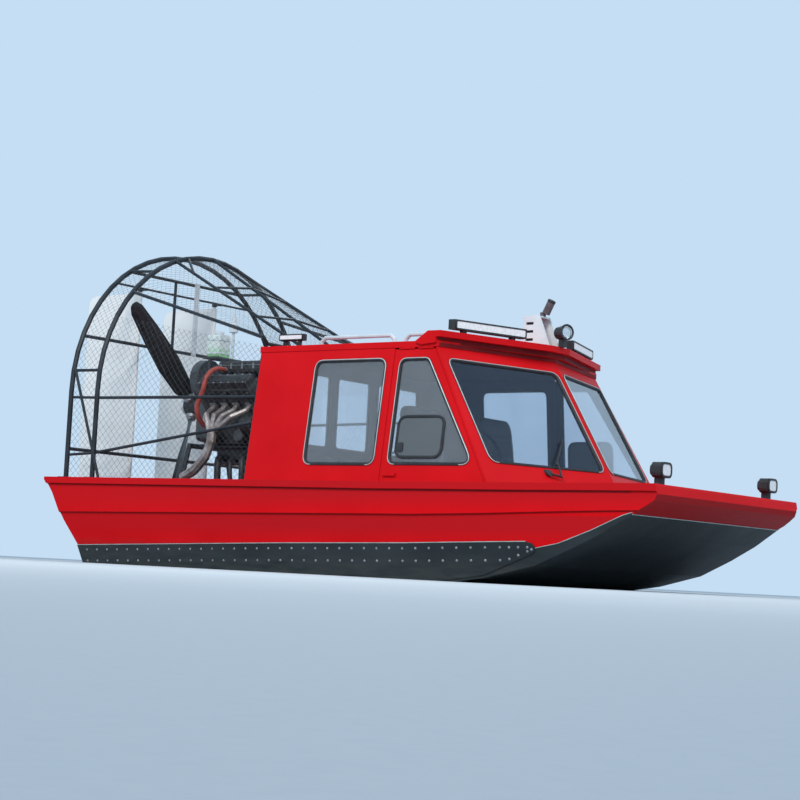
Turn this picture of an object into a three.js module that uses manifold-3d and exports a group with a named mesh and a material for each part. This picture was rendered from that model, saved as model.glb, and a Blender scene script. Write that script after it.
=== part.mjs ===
// Cabin airboat: flat-bottomed red hull, hollow cabin with a V-shaped windshield, V8 on a
// stand, caged air propeller and twin rudders. Millimetres, +X toward the bow, +Z up.
import * as THREE from "three";
import Module from "manifold-3d";

const wasm = await Module();
wasm.setup();
const { Manifold, CrossSection, Mesh } = wasm;

// Driving dimensions
const GAP = 0.3; // between touching pieces
const HALF_BEAM = 1220;
const BOW_HALF = 957;
const TAPER_FROM = 2900; // the sides run parallel aft of this
const BOW_X = 4898;
const RAIL_H = 45; // gunwale band
const WALL = 25; // hull plate with its stringers
const SHEET_T = 8; // black polymer on the bottom
const DECK_TOP = 655;
const DECK_T = 15;
const STERN_DECK = 112; // front edge of the narrow deck behind the propeller

const CABIN_REAR = 1800;
const CABIN_BASE_HALF = 1079; // outer face at Z 680
const TUMBLEHOME = 0.126;
const PANEL_T = 20;
const ROOF_Z = 1545; // underside
const ROOF_TOP = 1585;
const VISOR_TOP = 1648;
const SEAM_X = 2945; // rear edge of the doors
const DOOR_GAP = 6;
const SHIELD_X = 3597; // windshield's middle post at SHIELD_Z
const SHIELD_Z = 1473;
const SHIELD_RAKE = 0.615;
const SHIELD_V = 0.279; // sweep of each pane back from the middle

const HUB_Z = 1289;
const PROP_X = 292;
const PROP_R = 1000;
const REAR_HOOP_X = 142;
const REAR_HOOP_R = 1140;
const MID_HOOP_X = 396;
const MID_HOOP_R = 1128;
const TUBE_R = 19;
const RUDDER_Y = 420;
const RUDDER_POST_X = 60;
const RUDDER_REAR = -479;
const RUDDER_TOP = 2110;

const ORIGIN_X = 2209.5; // middle of the whole length

// Small geometry helpers
const solid = (verts, tris) =>
  new Manifold(new Mesh({
    numProp: 3,
    vertProperties: new Float32Array(verts.flat()),
    triVerts: new Uint32Array(tris.flat()),
  }));
const box = (x0, x1, y0, y1, z0, z1) =>
  Manifold.cube([x1 - x0, y1 - y0, z1 - z0]).translate([x0, y0, z0]);
const area = (pts) => pts.reduce((s, p, i) => {
  const q = pts[(i + 1) % pts.length];
  return s + p[0] * q[1] - q[0] * p[1];
}, 0);
const ccw = (pts) => (area(pts) < 0 ? [...pts].reverse() : pts);
const section = (pts) => new CrossSection([ccw(pts)]);
const along = (m, s, from, to) => Manifold.extrude(s, to - from).transform(m(from));
const toX = (x) => [0, 1, 0, 0, 0, 0, 1, 0, 1, 0, 0, 0, x, 0, 0, 1];
// outline given as [y, z], extruded along X
const prismX = (pts, x0, x1) =>
  along(toX, pts instanceof CrossSection ? pts : section(pts), x0, x1);
// outline given as [x, z], extruded along Y
const prismY = (pts, y0, y1) =>
  Manifold.extrude(pts instanceof CrossSection ? pts : section(pts), y1 - y0)
    .rotate([90, 0, 0]).translate([0, y1, 0]);
// outline given as [x, y], extruded along Z
const prismZ = (pts, z0, z1) => Manifold.extrude(section(pts), z1 - z0).translate([0, 0, z0]);
const lerp = (table, x) => {
  if (x <= table[0][0]) return table[0][1];
  for (let i = 1; i < table.length; i++) {
    const [a, b] = [table[i - 1], table[i]];
    if (x <= b[0]) return a[1] + ((b[1] - a[1]) * (x - a[0])) / (b[0] - a[0]);
  }
  return table[table.length - 1][1];
};
const join = (...parts) => Manifold.union(parts.flat());
const mirrorY = (m) => m.mirror([0, 1, 0]);
// rounds the corners of a closed outline with arcs of radius r
const rounded = (pts, r, steps = 3) => pts.flatMap((p, i) => {
  const a = pts[(i + pts.length - 1) % pts.length], b = pts[(i + 1) % pts.length];
  const va = [a[0] - p[0], a[1] - p[1]], vb = [b[0] - p[0], b[1] - p[1]];
  const la = Math.hypot(...va), lb = Math.hypot(...vb);
  const half = Math.acos((va[0] * vb[0] + va[1] * vb[1]) / (la * lb)) / 2;
  const d = Math.min(r / Math.tan(half), la * 0.45, lb * 0.45);
  const s = [p[0] + (va[0] / la) * d, p[1] + (va[1] / la) * d];
  const e = [p[0] + (vb[0] / lb) * d, p[1] + (vb[1] / lb) * d];
  return Array.from({ length: steps + 1 }, (_, k) => {
    const t = k / steps, u = 1 - t;
    return [0, 1].map((j) => u * u * s[j] + 2 * u * t * p[j] + t * t * e[j]);
  });
});
// stacks rings of equal length into a closed body, each end filled from its first point
const loft = (rings) => {
  const n = rings[0].length, tris = [];
  for (let i = 0; i + 1 < rings.length; i++) {
    for (let j = 0; j < n; j++) {
      const a = i * n + j, b = i * n + ((j + 1) % n), c = a + n, d = b + n;
      tris.push([a, b, d], [a, d, c]);
    }
  }
  const last = (rings.length - 1) * n;
  for (let j = 1; j + 1 < n; j++) tris.push([0, j + 1, j], [last, last + j, last + j + 1]);
  const body = solid(rings.flat(), tris);
  return body.volume() < 0 ? solid(rings.flat(), tris.map(([a, b, c]) => [a, c, b])) : body;
};
const add = (a, b, k = 1) => a.map((v, i) => v + b[i] * k);
const sub = (a, b) => add(a, b, -1);
const dot = (a, b) => a.reduce((s, v, i) => s + v * b[i], 0);
const unit = (a) => a.map((v) => v / Math.hypot(...a));
const cross = (a, b) => [
  a[1] * b[2] - a[2] * b[1], a[2] * b[0] - a[0] * b[2], a[0] * b[1] - a[1] * b[0],
];
// round bar along a path, mitred at its bends
const tube = (path, r, sides = 8) => {
  const first = unit(sub(path[1], path[0]));
  const side = unit(cross(first, Math.abs(first[2]) > 0.9 ? [1, 0, 0] : [0, 0, 1]));
  const up = cross(side, first);
  let ring = Array.from({ length: sides }, (_, k) => {
    const a = (2 * Math.PI * (k + 0.5)) / sides;
    return add(add(path[0], side, r * Math.cos(a)), up, r * Math.sin(a));
  });
  const rings = [ring];
  for (let i = 1; i < path.length; i++) {
    const dir = unit(sub(path[i], path[i - 1]));
    const on = i + 1 < path.length ? unit(add(dir, unit(sub(path[i + 1], path[i])))) : dir;
    ring = ring.map((v) => add(v, dir, dot(sub(path[i], v), on) / dot(dir, on)));
    rings.push(ring);
  }
  return loft(rings);
};
const disc = (r, axis, from, to, centre, n = 16) => {
  const dirs = { x: [0, 90, 0], y: [-90, 0, 0], z: [0, 0, 0] };
  const at = { x: [from, centre[0], centre[1]], y: [centre[0], from, centre[1]],
    z: [centre[0], centre[1], from] };
  return Manifold.cylinder(to - from, r, r, n).rotate(dirs[axis]).translate(at[axis]);
};

const boat = new THREE.Group();
boat.name = "cabin_airboat";
const paint = {
  red: 0xcd141c, black: 0x1e2428, grey: 0x8d9398, pale: 0xc9ccce, dark: 0x2b3036,
  glass: 0x5f6d7c, chrome: 0xb8bcc0, white: 0xe8e8e6, seat: 0x33373c, lamp: 0xf4f4f0,
  frame: 0x2f363f, tank: 0xdfe8de, deck: 0x3a3e42,
};
// leaves out slivers without volume that a cut can leave on a shared face
const tidy = (body) => join(...body.decompose().filter((b) => b.volume() > 1));
const put = (name, body, colour) => {
  const mesh = tidy(body).getMesh(), geometry = new THREE.BufferGeometry();
  const pos = new Float32Array(mesh.numVert * 3);
  for (let i = 0; i < mesh.numVert; i++) {
    for (let k = 0; k < 3; k++) pos[3 * i + k] = mesh.vertProperties[mesh.numProp * i + k];
  }
  geometry.setAttribute("position", new THREE.BufferAttribute(pos, 3));
  geometry.setIndex(new THREE.BufferAttribute(new Uint32Array(mesh.triVerts), 1));
  geometry.computeVertexNormals();
  const node = new THREE.Mesh(geometry, new THREE.MeshStandardMaterial({ color: paint[colour] }));
  node.name = name;
  boat.add(node);
};

// Hull
const taper = (x) => {
  const t = Math.max(0, (x - TAPER_FROM) / (BOW_X - 30 - TAPER_FROM));
  return 1 - (1 - BOW_HALF / HALF_BEAM) * t ** 2.2;
};
const knuckle = [[0, 398], [2500, 442], [3300, 453], [3800, 471], [4336, 499], [4750, 520]];
const sheer = [[0, 660], [3000, 662], [4000, 672], [BOW_X, 692]];
const stations = [-60, 3000, 3300, 3600, 3850, 4100, 4350, 4600, 4800, 5000];
// hull sides as a loft, its skin moved out by `grow`
const sides = (grow, top = 0) => loft(stations.map((x) => {
  const k = lerp(knuckle, x), s = lerp(sheer, x), w = taper(x), y = (v) => v * w + grow;
  const half = [
    [y(1112), -60], [y(1190), k], [y(1204), k + 10], [y(1203), s - RAIL_H - 6],
    [y(HALF_BEAM), s - RAIL_H], [y(HALF_BEAM), s + top],
  ];
  const port = half.map(([v, z]) => [x, v, z]);
  const starboard = [...half].reverse().map(([v, z]) => [x, -v, z]);
  return [[x, 0, s + top], ...starboard, ...port];
}));
const sternRake = [[395, 0], [330, 170], [195, 350], [75, 550], [0, 640]];
const bowRake = [
  [3000, 0], [3400, 26], [3800, 88], [4141, 175], [4387, 290], [4571, 387], [4750, 503],
  [4842, 562], [4884, 594], [BOW_X, 630],
];
const outline = (top) =>
  section([...sternRake, [0, top], [4876, top], [4890, 676], ...[...bowRake].reverse()]);
const profile = outline(720);
const cut = (s, grow) => prismY(grow ? s.offset(grow, "Miter") : s, -1500, 1500);
const whole = sides(0).intersect(cut(profile, 0));

const blackEdge = [
  [-100, 150], [323, 165], [2217, 235], [3240, 258], [4069, 262], [4301, 316], [4507, 403],
  [4694, 496], [4752, 515],
];
const blackZone = (grow) => prismY(
  section([[-100, -100], ...blackEdge, [4752, -100]]).offset(grow, "Miter"), -1500, 1500);
const inside = (depth) => sides(-depth).intersect(cut(profile, -depth));
const sheet = whole.intersect(blackZone(0)).subtract(inside(SHEET_T));
const rebate = blackZone(GAP).subtract(inside(SHEET_T + GAP));
const cavity = (extra) =>
  sides(-WALL - extra, 200).intersect(cut(outline(1000), -WALL - extra));
put("hull_shell", whole.subtract(rebate).subtract(cavity(0)), "red");
put("bottom_sheet", sheet, "black");

const stripTop = [[323, 177], [2217, 248], [3240, 280], [4090, 318]];
const stripOutline = [
  [384, 14], ...stripTop, [4128, 312], [4150, 290], [4148, 262], [4120, 240], [3800, 104],
  [3400, 44], [3000, 14],
];
const strip = sides(7).intersect(prismY(stripOutline, -1500, 0)).subtract(sides(GAP));
put("chine_strip_starboard", strip, "black");
put("chine_strip_port", mirrorY(strip), "black");

// Decks and bulkheads
const inHull = (x0, x1, z0, z1, y0 = -1500, y1 = 1500) =>
  cavity(GAP).intersect(box(x0, x1, y0, y1, z0, z1));
const sideY = (z) => CABIN_BASE_HALF - TUMBLEHOME * (z - 680);
const shieldX = (z) => SHIELD_X + (SHIELD_Z - z) * SHIELD_RAKE;
const cornerX = (z) => shieldX(z) - SHIELD_V * sideY(z);
const baseHalf = sideY(DECK_TOP);
const well = prismZ([
  [STERN_DECK, -baseHalf + 45], [cornerX(DECK_TOP) - 40, -baseHalf + 45],
  [shieldX(DECK_TOP) - 60, 0], [cornerX(DECK_TOP) - 40, baseHalf - 45],
  [STERN_DECK, baseHalf - 45],
], 500, 900);
const deckZ = [DECK_TOP - DECK_T, DECK_TOP];
put("deck_rim", inHull(26, 3700, ...deckZ).subtract(well), "red");
// a raised tread plate in the middle takes cargo
put("fore_deck", join(inHull(3700 + GAP, 4880, ...deckZ).subtract(well),
  box(4110, 4700, -520, 520, DECK_TOP - 1, DECK_TOP + 4)), "red");
put("engine_floor", inHull(430, CABIN_REAR - GAP, 120, 135), "deck");
const underDeck = DECK_TOP - DECK_T - GAP;
put("cabin_tub", join(inHull(CABIN_REAR, CABIN_REAR + 20, 0, underDeck),
  inHull(3840, 3855, 0, underDeck), inHull(CABIN_REAR + 10, 3850, 120, 135)), "grey");

// Cabin
// flat plate drawn as [x, z], laid on the starboard side plane; `deep` from the outer face
const onSide = (outlines, from, to) => {
  const [outer, ...holes] = outlines;
  let plate = prismY(outer, from, to);
  for (const h of holes) plate = plate.subtract(prismY(h, from - 50, to + 50));
  return plate.warp((v) => { v[1] -= sideY(v[2]); });
};
const base = DECK_TOP + GAP;
const top = ROOF_Z - GAP;
const window1 = [[2291, 772], [2291, 1480], [2889, 1480], [2889, 772]];
const window2 = [[2992, 777], [2992, 1477], [3226, 1477], [3672, 777]];
const hole1 = rounded(window1, 70), hole2 = rounded(window2, 62);
const sidePanel = onSide([
  [[CABIN_REAR, base], [CABIN_REAR, top], [SEAM_X - DOOR_GAP / 2, top],
    [SEAM_X - DOOR_GAP / 2, base]], hole1], 0, PANEL_T);
put("side_panel_starboard", sidePanel, "red");
put("side_panel_port", mirrorY(sidePanel), "red");

const doorFront = (z) => cornerX(z) - 26;
const doorBase = DECK_TOP + 10, doorTop = ROOF_Z - 11;
const door = onSide([
  [[SEAM_X + DOOR_GAP / 2, doorBase], [SEAM_X + DOOR_GAP / 2, doorTop],
    [doorFront(doorTop), doorTop], [doorFront(doorBase), doorBase]], hole2], 0, PANEL_T);
const latch = onSide([[[2975, 706], [2975, 724], [3075, 724], [3075, 706]]], -14, 2);
const HINGE_Y = -974, HINGE_Z = 1538;
// knuckles on one axis: the door's in pairs, and the roof's between them
const knuckles = (xs, w, r) =>
  join(...xs.map((x) => disc(r, "x", x, x + w, [HINGE_Y, HINGE_Z], 10)));
const hungDoor = join(door.subtract(knuckles([3020.5, 3170.5], 41, 9)), latch,
  knuckles([2980, 3062, 3130, 3212], 40, 6));
const roofKnuckles = join(knuckles([3020.5, 3170.5], 41, 6),
  ...[3020.5, 3170.5].map((x) => box(x, x + 41, HINGE_Y - 5, HINGE_Y + 9, HINGE_Z + 1, ROOF_Z + 2)));
put("door_starboard", hungDoor, "red");
put("door_port", mirrorY(hungDoor), "red");

const shrunk = (pts) => section(pts).offset(-GAP, "Miter").toPolygons()[0];
const glass1 = onSide([shrunk(hole1)], 7, 13), glass2 = onSide([shrunk(hole2)], 7, 13);
put("side_glass_starboard", glass1, "glass");
put("side_glass_port", mirrorY(glass1), "glass");
put("door_glass_starboard", glass2, "glass");
put("door_glass_port", mirrorY(glass2), "glass");

// plate drawn as [y, z] on the starboard windshield plane
const onShield = (outlines, from, to) => {
  const [outer, ...holes] = outlines;
  let plate = prismX(outer, -to, -from);
  for (const h of holes) plate = plate.subtract(prismX(h, -to - 50, 50));
  return plate.warp((v) => { v[0] += shieldX(v[2]) + SHIELD_V * v[1]; });
};
const W3_TOP = 1473, W3_LOW = 803;
const pane = [[-945, W3_TOP], [-30, W3_TOP], [-30, W3_LOW], [-980, W3_LOW]];
const pillar = (z) => -sideY(z);
const shieldHalf = onShield([
  [[pillar(base), base], [pillar(top), top], [2, top], [2, base]], rounded(pane, 62)], 0, PANEL_T);
const pillarReturn = onSide([
  [[doorFront(base) + DOOR_GAP, base], [doorFront(top) + DOOR_GAP, top],
    [cornerX(top) - 8, top], [cornerX(base) - 8, base]]], 0, PANEL_T);
put("windshield_frame", join(shieldHalf, pillarReturn, mirrorY(shieldHalf),
  mirrorY(pillarReturn)), "red");
const shieldGlass = onShield([shrunk(rounded(pane, 62))], 7, 13);
put("windshield_glass_starboard", shieldGlass, "glass");
put("windshield_glass_port", mirrorY(shieldGlass), "glass");

const rearHalf = (z) => sideY(z) - PANEL_T - GAP;
const rearPanes = [["starboard", -740, -215], ["middle", -150, 250], ["port", 320, 840]];
const rearHole = (y0, y1) => rounded([[y0, 940], [y0, 1472], [y1, 1472], [y1, 940]], 50);
const rearWall = prismX([
  [-rearHalf(base), base], [-rearHalf(top), top], [rearHalf(top), top], [rearHalf(base), base],
], CABIN_REAR, CABIN_REAR + PANEL_T);
put("rear_wall", rearWall.subtract(join(
  ...rearPanes.map(([, y0, y1]) => prismX(rearHole(y0, y1), 1700, 1900)))), "red");
for (const [side, y0, y1] of rearPanes) {
  put(`rear_glass_${side}`, prismX(shrunk(rearHole(y0, y1)), CABIN_REAR + 7, CABIN_REAR + 13),
    "glass");
}

// roof slab, and the raised brow that overhangs the windshield
const roofHalf = sideY(ROOF_Z) + 4;
const slab = prismZ([
  [CABIN_REAR - 12, -roofHalf], [cornerX(ROOF_Z) + 4, -roofHalf], [shieldX(ROOF_Z) + 4, 0],
  [cornerX(ROOF_Z) + 4, roofHalf], [CABIN_REAR - 12, roofHalf],
], ROOF_Z, ROOF_TOP);
const BROW_V = 0.329, BROW_X = 3634, BROW_HALF = 988, NOSE = 105;
const LIP_Z = 1607, LIP_REACH = 38; // the front lip, and how far it stands out over the rest
const browLayer = (back, z0, z1) => prismZ([
  [3060, -BROW_HALF], [BROW_X - BROW_V * BROW_HALF - back, -BROW_HALF],
  [BROW_X - BROW_V * NOSE - back, -NOSE], [BROW_X - BROW_V * NOSE - back, NOSE],
  [BROW_X - BROW_V * BROW_HALF - back, BROW_HALF], [3060, BROW_HALF],
], z0, z1);
const brow = join(browLayer(LIP_REACH, 1560, LIP_Z + 5), browLayer(0, LIP_Z, 1700)).intersect(prismY([
  [3114, ROOF_TOP - 12], [3114, ROOF_TOP], [3208, VISOR_TOP], [3700, VISOR_TOP],
  [3700, 1572], [3300, 1572], [3160, 1560],
], -1200, 1200));
const roofPad = box(1960, 3050, -540, 540, ROOF_TOP - 1, ROOF_TOP + 4); // non-skid plate
put("cabin_roof", join(slab, brow, roofPad, roofKnuckles, mirrorY(roofKnuckles)), "red");

// Things on the roof and bow
const rail = (x0, x1, z) => join(
  tube([[x0, -600, ROOF_TOP + 6], [x0 + 10, -600, z - 26], [x0 + 40, -600, z],
    [x1 - 40, -600, z], [x1 - 10, -600, z - 26], [x1, -600, ROOF_TOP + 6]], 14, 8),
  box(x0 - 25, x1 + 25, -618, -582, ROOF_TOP + GAP, ROOF_TOP + 7));
const rails = join(rail(2013, 2660, 1684), rail(2740, 3080, 1684),
  box(2660, 2740, -618, -582, ROOF_TOP + GAP, ROOF_TOP + 7));
put("roof_rail_starboard", rails, "pale");
put("roof_rail_port", mirrorY(rails), "pale");

const barAt = (y0, y1, back) => {
  const x = (y) => BROW_X - BROW_V * y - back;
  return prismZ([[x(-y0), y0], [x(-y1), y1], [x(-y1) - 52, y1], [x(-y0) - 52, y0]], 0, 66);
};
const lightBar = join(barAt(-850, -290, 32).translate([0, 0, VISOR_TOP + 22]),
  ...[-760, -380].map((y) => box(BROW_X + BROW_V * y - 72, BROW_X + BROW_V * y - 44,
    y - 20, y + 20, VISOR_TOP + GAP, VISOR_TOP + 30)));
put("light_bar_starboard", lightBar, "lamp");
put("light_bar_port", mirrorY(lightBar), "lamp");

const mast = prismY([[3325, VISOR_TOP + GAP], [3330, 1858], [3455, 1864], [3548, VISOR_TOP + GAP]],
  -70, -58);
const mastPort = prismY(
  [[3325, VISOR_TOP + GAP], [3330, 1858], [3455, 1864], [3548, VISOR_TOP + GAP]], 58, 70);
const slots = join(...[1690, 1745, 1800].map((z) => box(3352, 3412, -80, 80, z, z + 18)));
put("lamp_bracket", join(mast, mastPort, box(3328, 3455, -70, 70, 1850, 1862))
  .subtract(slots), "white");
const lens = Manifold.cylinder(84, 44, 50, 16).translate([0, 0, -42]).rotate([0, 90, -24])
  .translate([3606, -6, 1746]);
put("searchlight", join(lens, box(3585, 3627, -20, 20, VISOR_TOP + GAP, 1720)), "dark");
const camAxis = [[3462, 0, 1880], [3506, 0, 1966]];
put("camera", join(tube(camAxis, 27, 10), disc(20, "z", 1862 + GAP, 1890, [3440, 0], 10)), "dark");

const lampBody = (w, z0, z1, x0, x1) =>
  prismX(rounded([[-710 - w, z0], [-710 - w, z1], [-710 + w, z1], [-710 + w, z0]], 28), x0, x1);
const bowLamp = join(
  lampBody(52, 752, 818, 4742, 4764), lampBody(68, 738, 832, 4762, 4826),
  disc(32, "z", 690, 745, [4782, -710], 10),
  box(4754, 4808, -745, -675, DECK_TOP + GAP, 697));
put("bow_lamp_starboard", bowLamp, "dark");
put("bow_lamp_port", mirrorY(bowLamp), "dark");

put("side_lamp", join(box(1819, 2031, -820, -778, 1643, 1688),
  ...[1850, 1980].map((x) => box(x, x + 20, -812, -790, ROOF_TOP + GAP, 1650))), "lamp");
// wiper on the driver's pane, its points given as [y, z, distance out from the plane]
const offShield = ([y, z, out]) => [shieldX(z) + SHIELD_V * y + out, y, z];
put("wiper", join(
  onShield([rounded([[-566, 752], [-566, 792], [-522, 792], [-522, 752]], 16)], -22, -GAP),
  tube([[-545, 772, 16], [-520, 760, 26], [-470, 752, 30], [-442, 845, 26]].map(offShield), 7, 6),
  tube([[-462, 826, 22], [-286, 1003, 14]].map(offShield), 6, 6)), "dark");

// Engine and drive
const deckLine = DECK_TOP + GAP;
const BLOCK = [560, 1120], CRANK_Z = 1160, BANK_ANGLE = 42, BEARER_Z = 968;
const leaned = (w, h, x0, l, z0) => (s) => Manifold.cube([l, w, h])
  .translate([x0, -w / 2, z0]).rotate([s * BANK_ANGLE, 0, 0]).translate([0, 0, CRANK_Z]);
const bank = leaned(150, 290, 580, 520, 60), cover = leaned(110, 60, 600, 480, 345);
const FLAT = Math.cos(Math.PI / 8); // octagonal bar: half its width over its flats
put("engine_block", join(
  box(...BLOCK, -150, 150, BEARER_Z + 20 * FLAT + GAP, CRANK_Z + 120),
  box(640, 1050, -85, 85, 840, CRANK_Z), bank(1), bank(-1), cover(1), cover(-1)), "black");
const valley = CRANK_Z + 120 + GAP;
put("intake", join(
  prismX([[-5, valley], [5, valley], [116, valley + 130], [116, valley + 185],
    [-116, valley + 185], [-116, valley + 130]], 640, 1040),
  disc(125, "z", valley + 180, valley + 260, [840, 0], 16),
  prismX(rounded([[-130, 1510], [-130, 1615], [130, 1615], [130, 1510]], 40), 645, 1090)), "dark");
const pulley = (r, y, z) => disc(r, "x", 1130, 1164, [y, z], 14);
put("accessory_drive", join(box(1120 + GAP, 1136, -200, 200, 1060, 1330),
  pulley(85, 0, 1150), pulley(58, -150, 1290), pulley(58, 150, 1290), pulley(40, -235, 1120),
  disc(66, "x", 1030, 1134, [-235, 1120], 14)), "dark");
const lean = (BANK_ANGLE * Math.PI) / 180;
const port = (t, out) => [ // a point off a bank's outer face, up the bank and out from it
  (75 + out) * Math.cos(lean) + t * Math.sin(lean),
  CRANK_Z - (75 + out) * Math.sin(lean) + t * Math.cos(lean)];
const header = (side) => {
  const at = (x, [y, z]) => [x, side * y, z];
  const pipes = [690, 800, 915, 1040].map((x, i) => tube([
    at(x, port(210, GAP)), at(x, port(210, 62)), at(x + (800 - x) * 0.3, [318, 1190 - i * 6]),
    at(770 + i * 20, [330, 1070])], 21, 8));
  return join(...pipes, tube([at(800, [332, 1095]), at(804, [340, 988]), at(764, [350, 873]),
    at(675, [360, 776]), at(560, [364, 716])], 36, 8));
};
put("exhaust_header_starboard", header(-1), "chrome");
put("exhaust_header_port", header(1), "chrome");
const tankBracket = join(
  ...[-100, 100].map((y) => tube([[520, y, 1440], [520, y, 1640]], 9, 6)),
  box(476, 634, -130, 130, 1636, 1650 - GAP));
put("reduction_drive", join(
  prismX(rounded([[-120, 1010], [-120, 1480], [120, 1480], [120, 1010]], 60), 440, 560 - GAP),
  disc(70, "x", PROP_X + 60.5, 440, [0, HUB_Z], 16),
  disc(150, "x", 372, 450, [0, 1490], 20), tankBracket), "grey");
put("coolant_tank", prismX(rounded([[-88, 1650], [-88, 1826], [36, 1826], [36, 1650]], 24),
  480, 600), "tank");
put("beacon", join(disc(12, "z", 1650, 1860, [602, 62], 10), disc(34, "z", 1856, 1912, [602, 62], 12),
  Manifold.cylinder(108, 30, 5, 12).translate([602, 62, 1908])), "white");
const LOW = 135 + GAP;
const leg = (x0, x1) => tube([[x0, -420, LOW + 14], [x1, -210, BEARER_Z], [x1, 210, BEARER_Z],
  [x0, 420, LOW + 14]], 20, 8);
const foot = (y) => box(440, 1210, y - 35, y + 35, LOW, LOW + 14);
const bearer = (y) => tube([[450, y, BEARER_Z], [1150, y, BEARER_Z]], 20, 8);
put("engine_stand", join(leg(470, 470), leg(1170, 1080), foot(-420), foot(420), bearer(-110),
  bearer(110)).subtract(join(box(300, 1300, -600, 600, 0, LOW),
  box(300, 1300, -600, 600, BEARER_Z + 20 * FLAT, 1100))), "frame");

// Propeller
const blade = (angle) => {
  const rows = [[60, 60, 40, 52], [180, 150, 24, 40], [420, 190, 17, 27], [700, 165, 12, 19],
    [940, 120, 8, 14], [PROP_R - 10, 70, 5, 12], [PROP_R, 30, 3, 12]];
  const rings = rows.map(([r, chord, thick, pitch]) => {
    const a = (pitch * Math.PI) / 180;
    return [[-0.5, 0], [-0.15, 0.5], [0.25, 0.35], [0.5, 0], [0.25, -0.35], [-0.15, -0.5]]
      .map(([c, t]) => [t * thick * Math.cos(a) + c * chord * Math.sin(a),
        c * chord * Math.cos(a) - t * thick * Math.sin(a), r]);
  });
  return loft(rings).rotate([-angle, 0, 0]).translate([PROP_X, 0, HUB_Z]);
};
put("propeller", join(
  disc(72, "x", PROP_X - 50, PROP_X + 60, [0, HUB_Z], 20),
  Manifold.cylinder(60, 72, 30, 20).rotate([0, -90, 0]).translate([PROP_X - 50, 0, HUB_Z]),
  ...[-46, 74, 194].map((a) => blade(a))), "dark");

// Cage
const arch = (x, r, n = 24) => {
  const pts = [[x, -r, deckLine + 6]];
  for (let i = 0; i <= n; i++) {
    const a = Math.PI - (Math.PI * i) / n;
    pts.push([x, r * Math.cos(a), HUB_Z + r * Math.sin(a)]);
  }
  pts.push([x, r, deckLine + 6]);
  return tube(pts, TUBE_R, 8);
};
const onHoop = (x, r, y) => [x, y, HUB_Z + Math.sqrt(r * r - y * y)];
const pad = (x, y) => box(x - 45, x + 45, y - 40, y + 40, deckLine, deckLine + 10);
const crossbar = (z, r) => {
  const y = Math.sqrt(REAR_HOOP_R ** 2 - Math.max(0, z - HUB_Z) ** 2) - 6;
  return tube([[REAR_HOOP_X, -y, z], [REAR_HOOP_X, y, z]], r, 6);
};
const BAR_LOW = 1705, BAR_TOP = 2245, RUDDER_BAR = RUDDER_TOP + 28;
put("cage_rear_hoop", join(
  arch(REAR_HOOP_X, REAR_HOOP_R), pad(REAR_HOOP_X, -REAR_HOOP_R), pad(REAR_HOOP_X, REAR_HOOP_R),
  crossbar(BAR_LOW, 13), crossbar(870, 13), crossbar(RUDDER_BAR, 9), crossbar(BAR_TOP, 13),
  tube([[REAR_HOOP_X, -120, BAR_LOW], [REAR_HOOP_X, -120, BAR_TOP]], 12, 6),
  ...[-RUDDER_Y, RUDDER_Y].map((y) => join(
    disc(20, "z", RUDDER_TOP + 16, RUDDER_TOP + 40, [RUDDER_POST_X, y], 10),
    box(RUDDER_POST_X + 8, REAR_HOOP_X, y - 12, y + 12, RUDDER_BAR - 7, RUDDER_BAR + 7)))),
"frame");
// stands against the front of the crossbars
const BAR_FACE = REAR_HOOP_X + 13 * Math.cos(Math.PI / 6) + GAP;
put("cage_post", box(BAR_FACE, BAR_FACE + 20, 82, 118, BAR_LOW - 15, BAR_TOP + 12), "pale");
const REAR_FACE = REAR_HOOP_X + TUBE_R * FLAT + GAP, MID_FACE = MID_HOOP_X + TUBE_R * FLAT + GAP;
const links = [-1, -0.55, 0, 0.55, 1].map((k) => {
  const a = onHoop(REAR_FACE - 2, REAR_HOOP_R, k * 1130);
  return tube([a, onHoop(MID_HOOP_X, MID_HOOP_R, k * 1118)], 11, 6);
});
const brace = tube([[REAR_FACE - 2, -1133, 1460], [480, -1150, deckLine + 8]], 11, 6);
put("cage_mid_hoop", join(
  arch(MID_HOOP_X, MID_HOOP_R), pad(MID_HOOP_X, -MID_HOOP_R), pad(MID_HOOP_X, MID_HOOP_R),
  brace, mirrorY(brace), ...links).subtract(box(0, REAR_FACE, -1300, 1300, 600, 2600)), "frame");

const HOOD_X = 1765, HOOD_Z = ROOF_TOP + 34;
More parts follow.
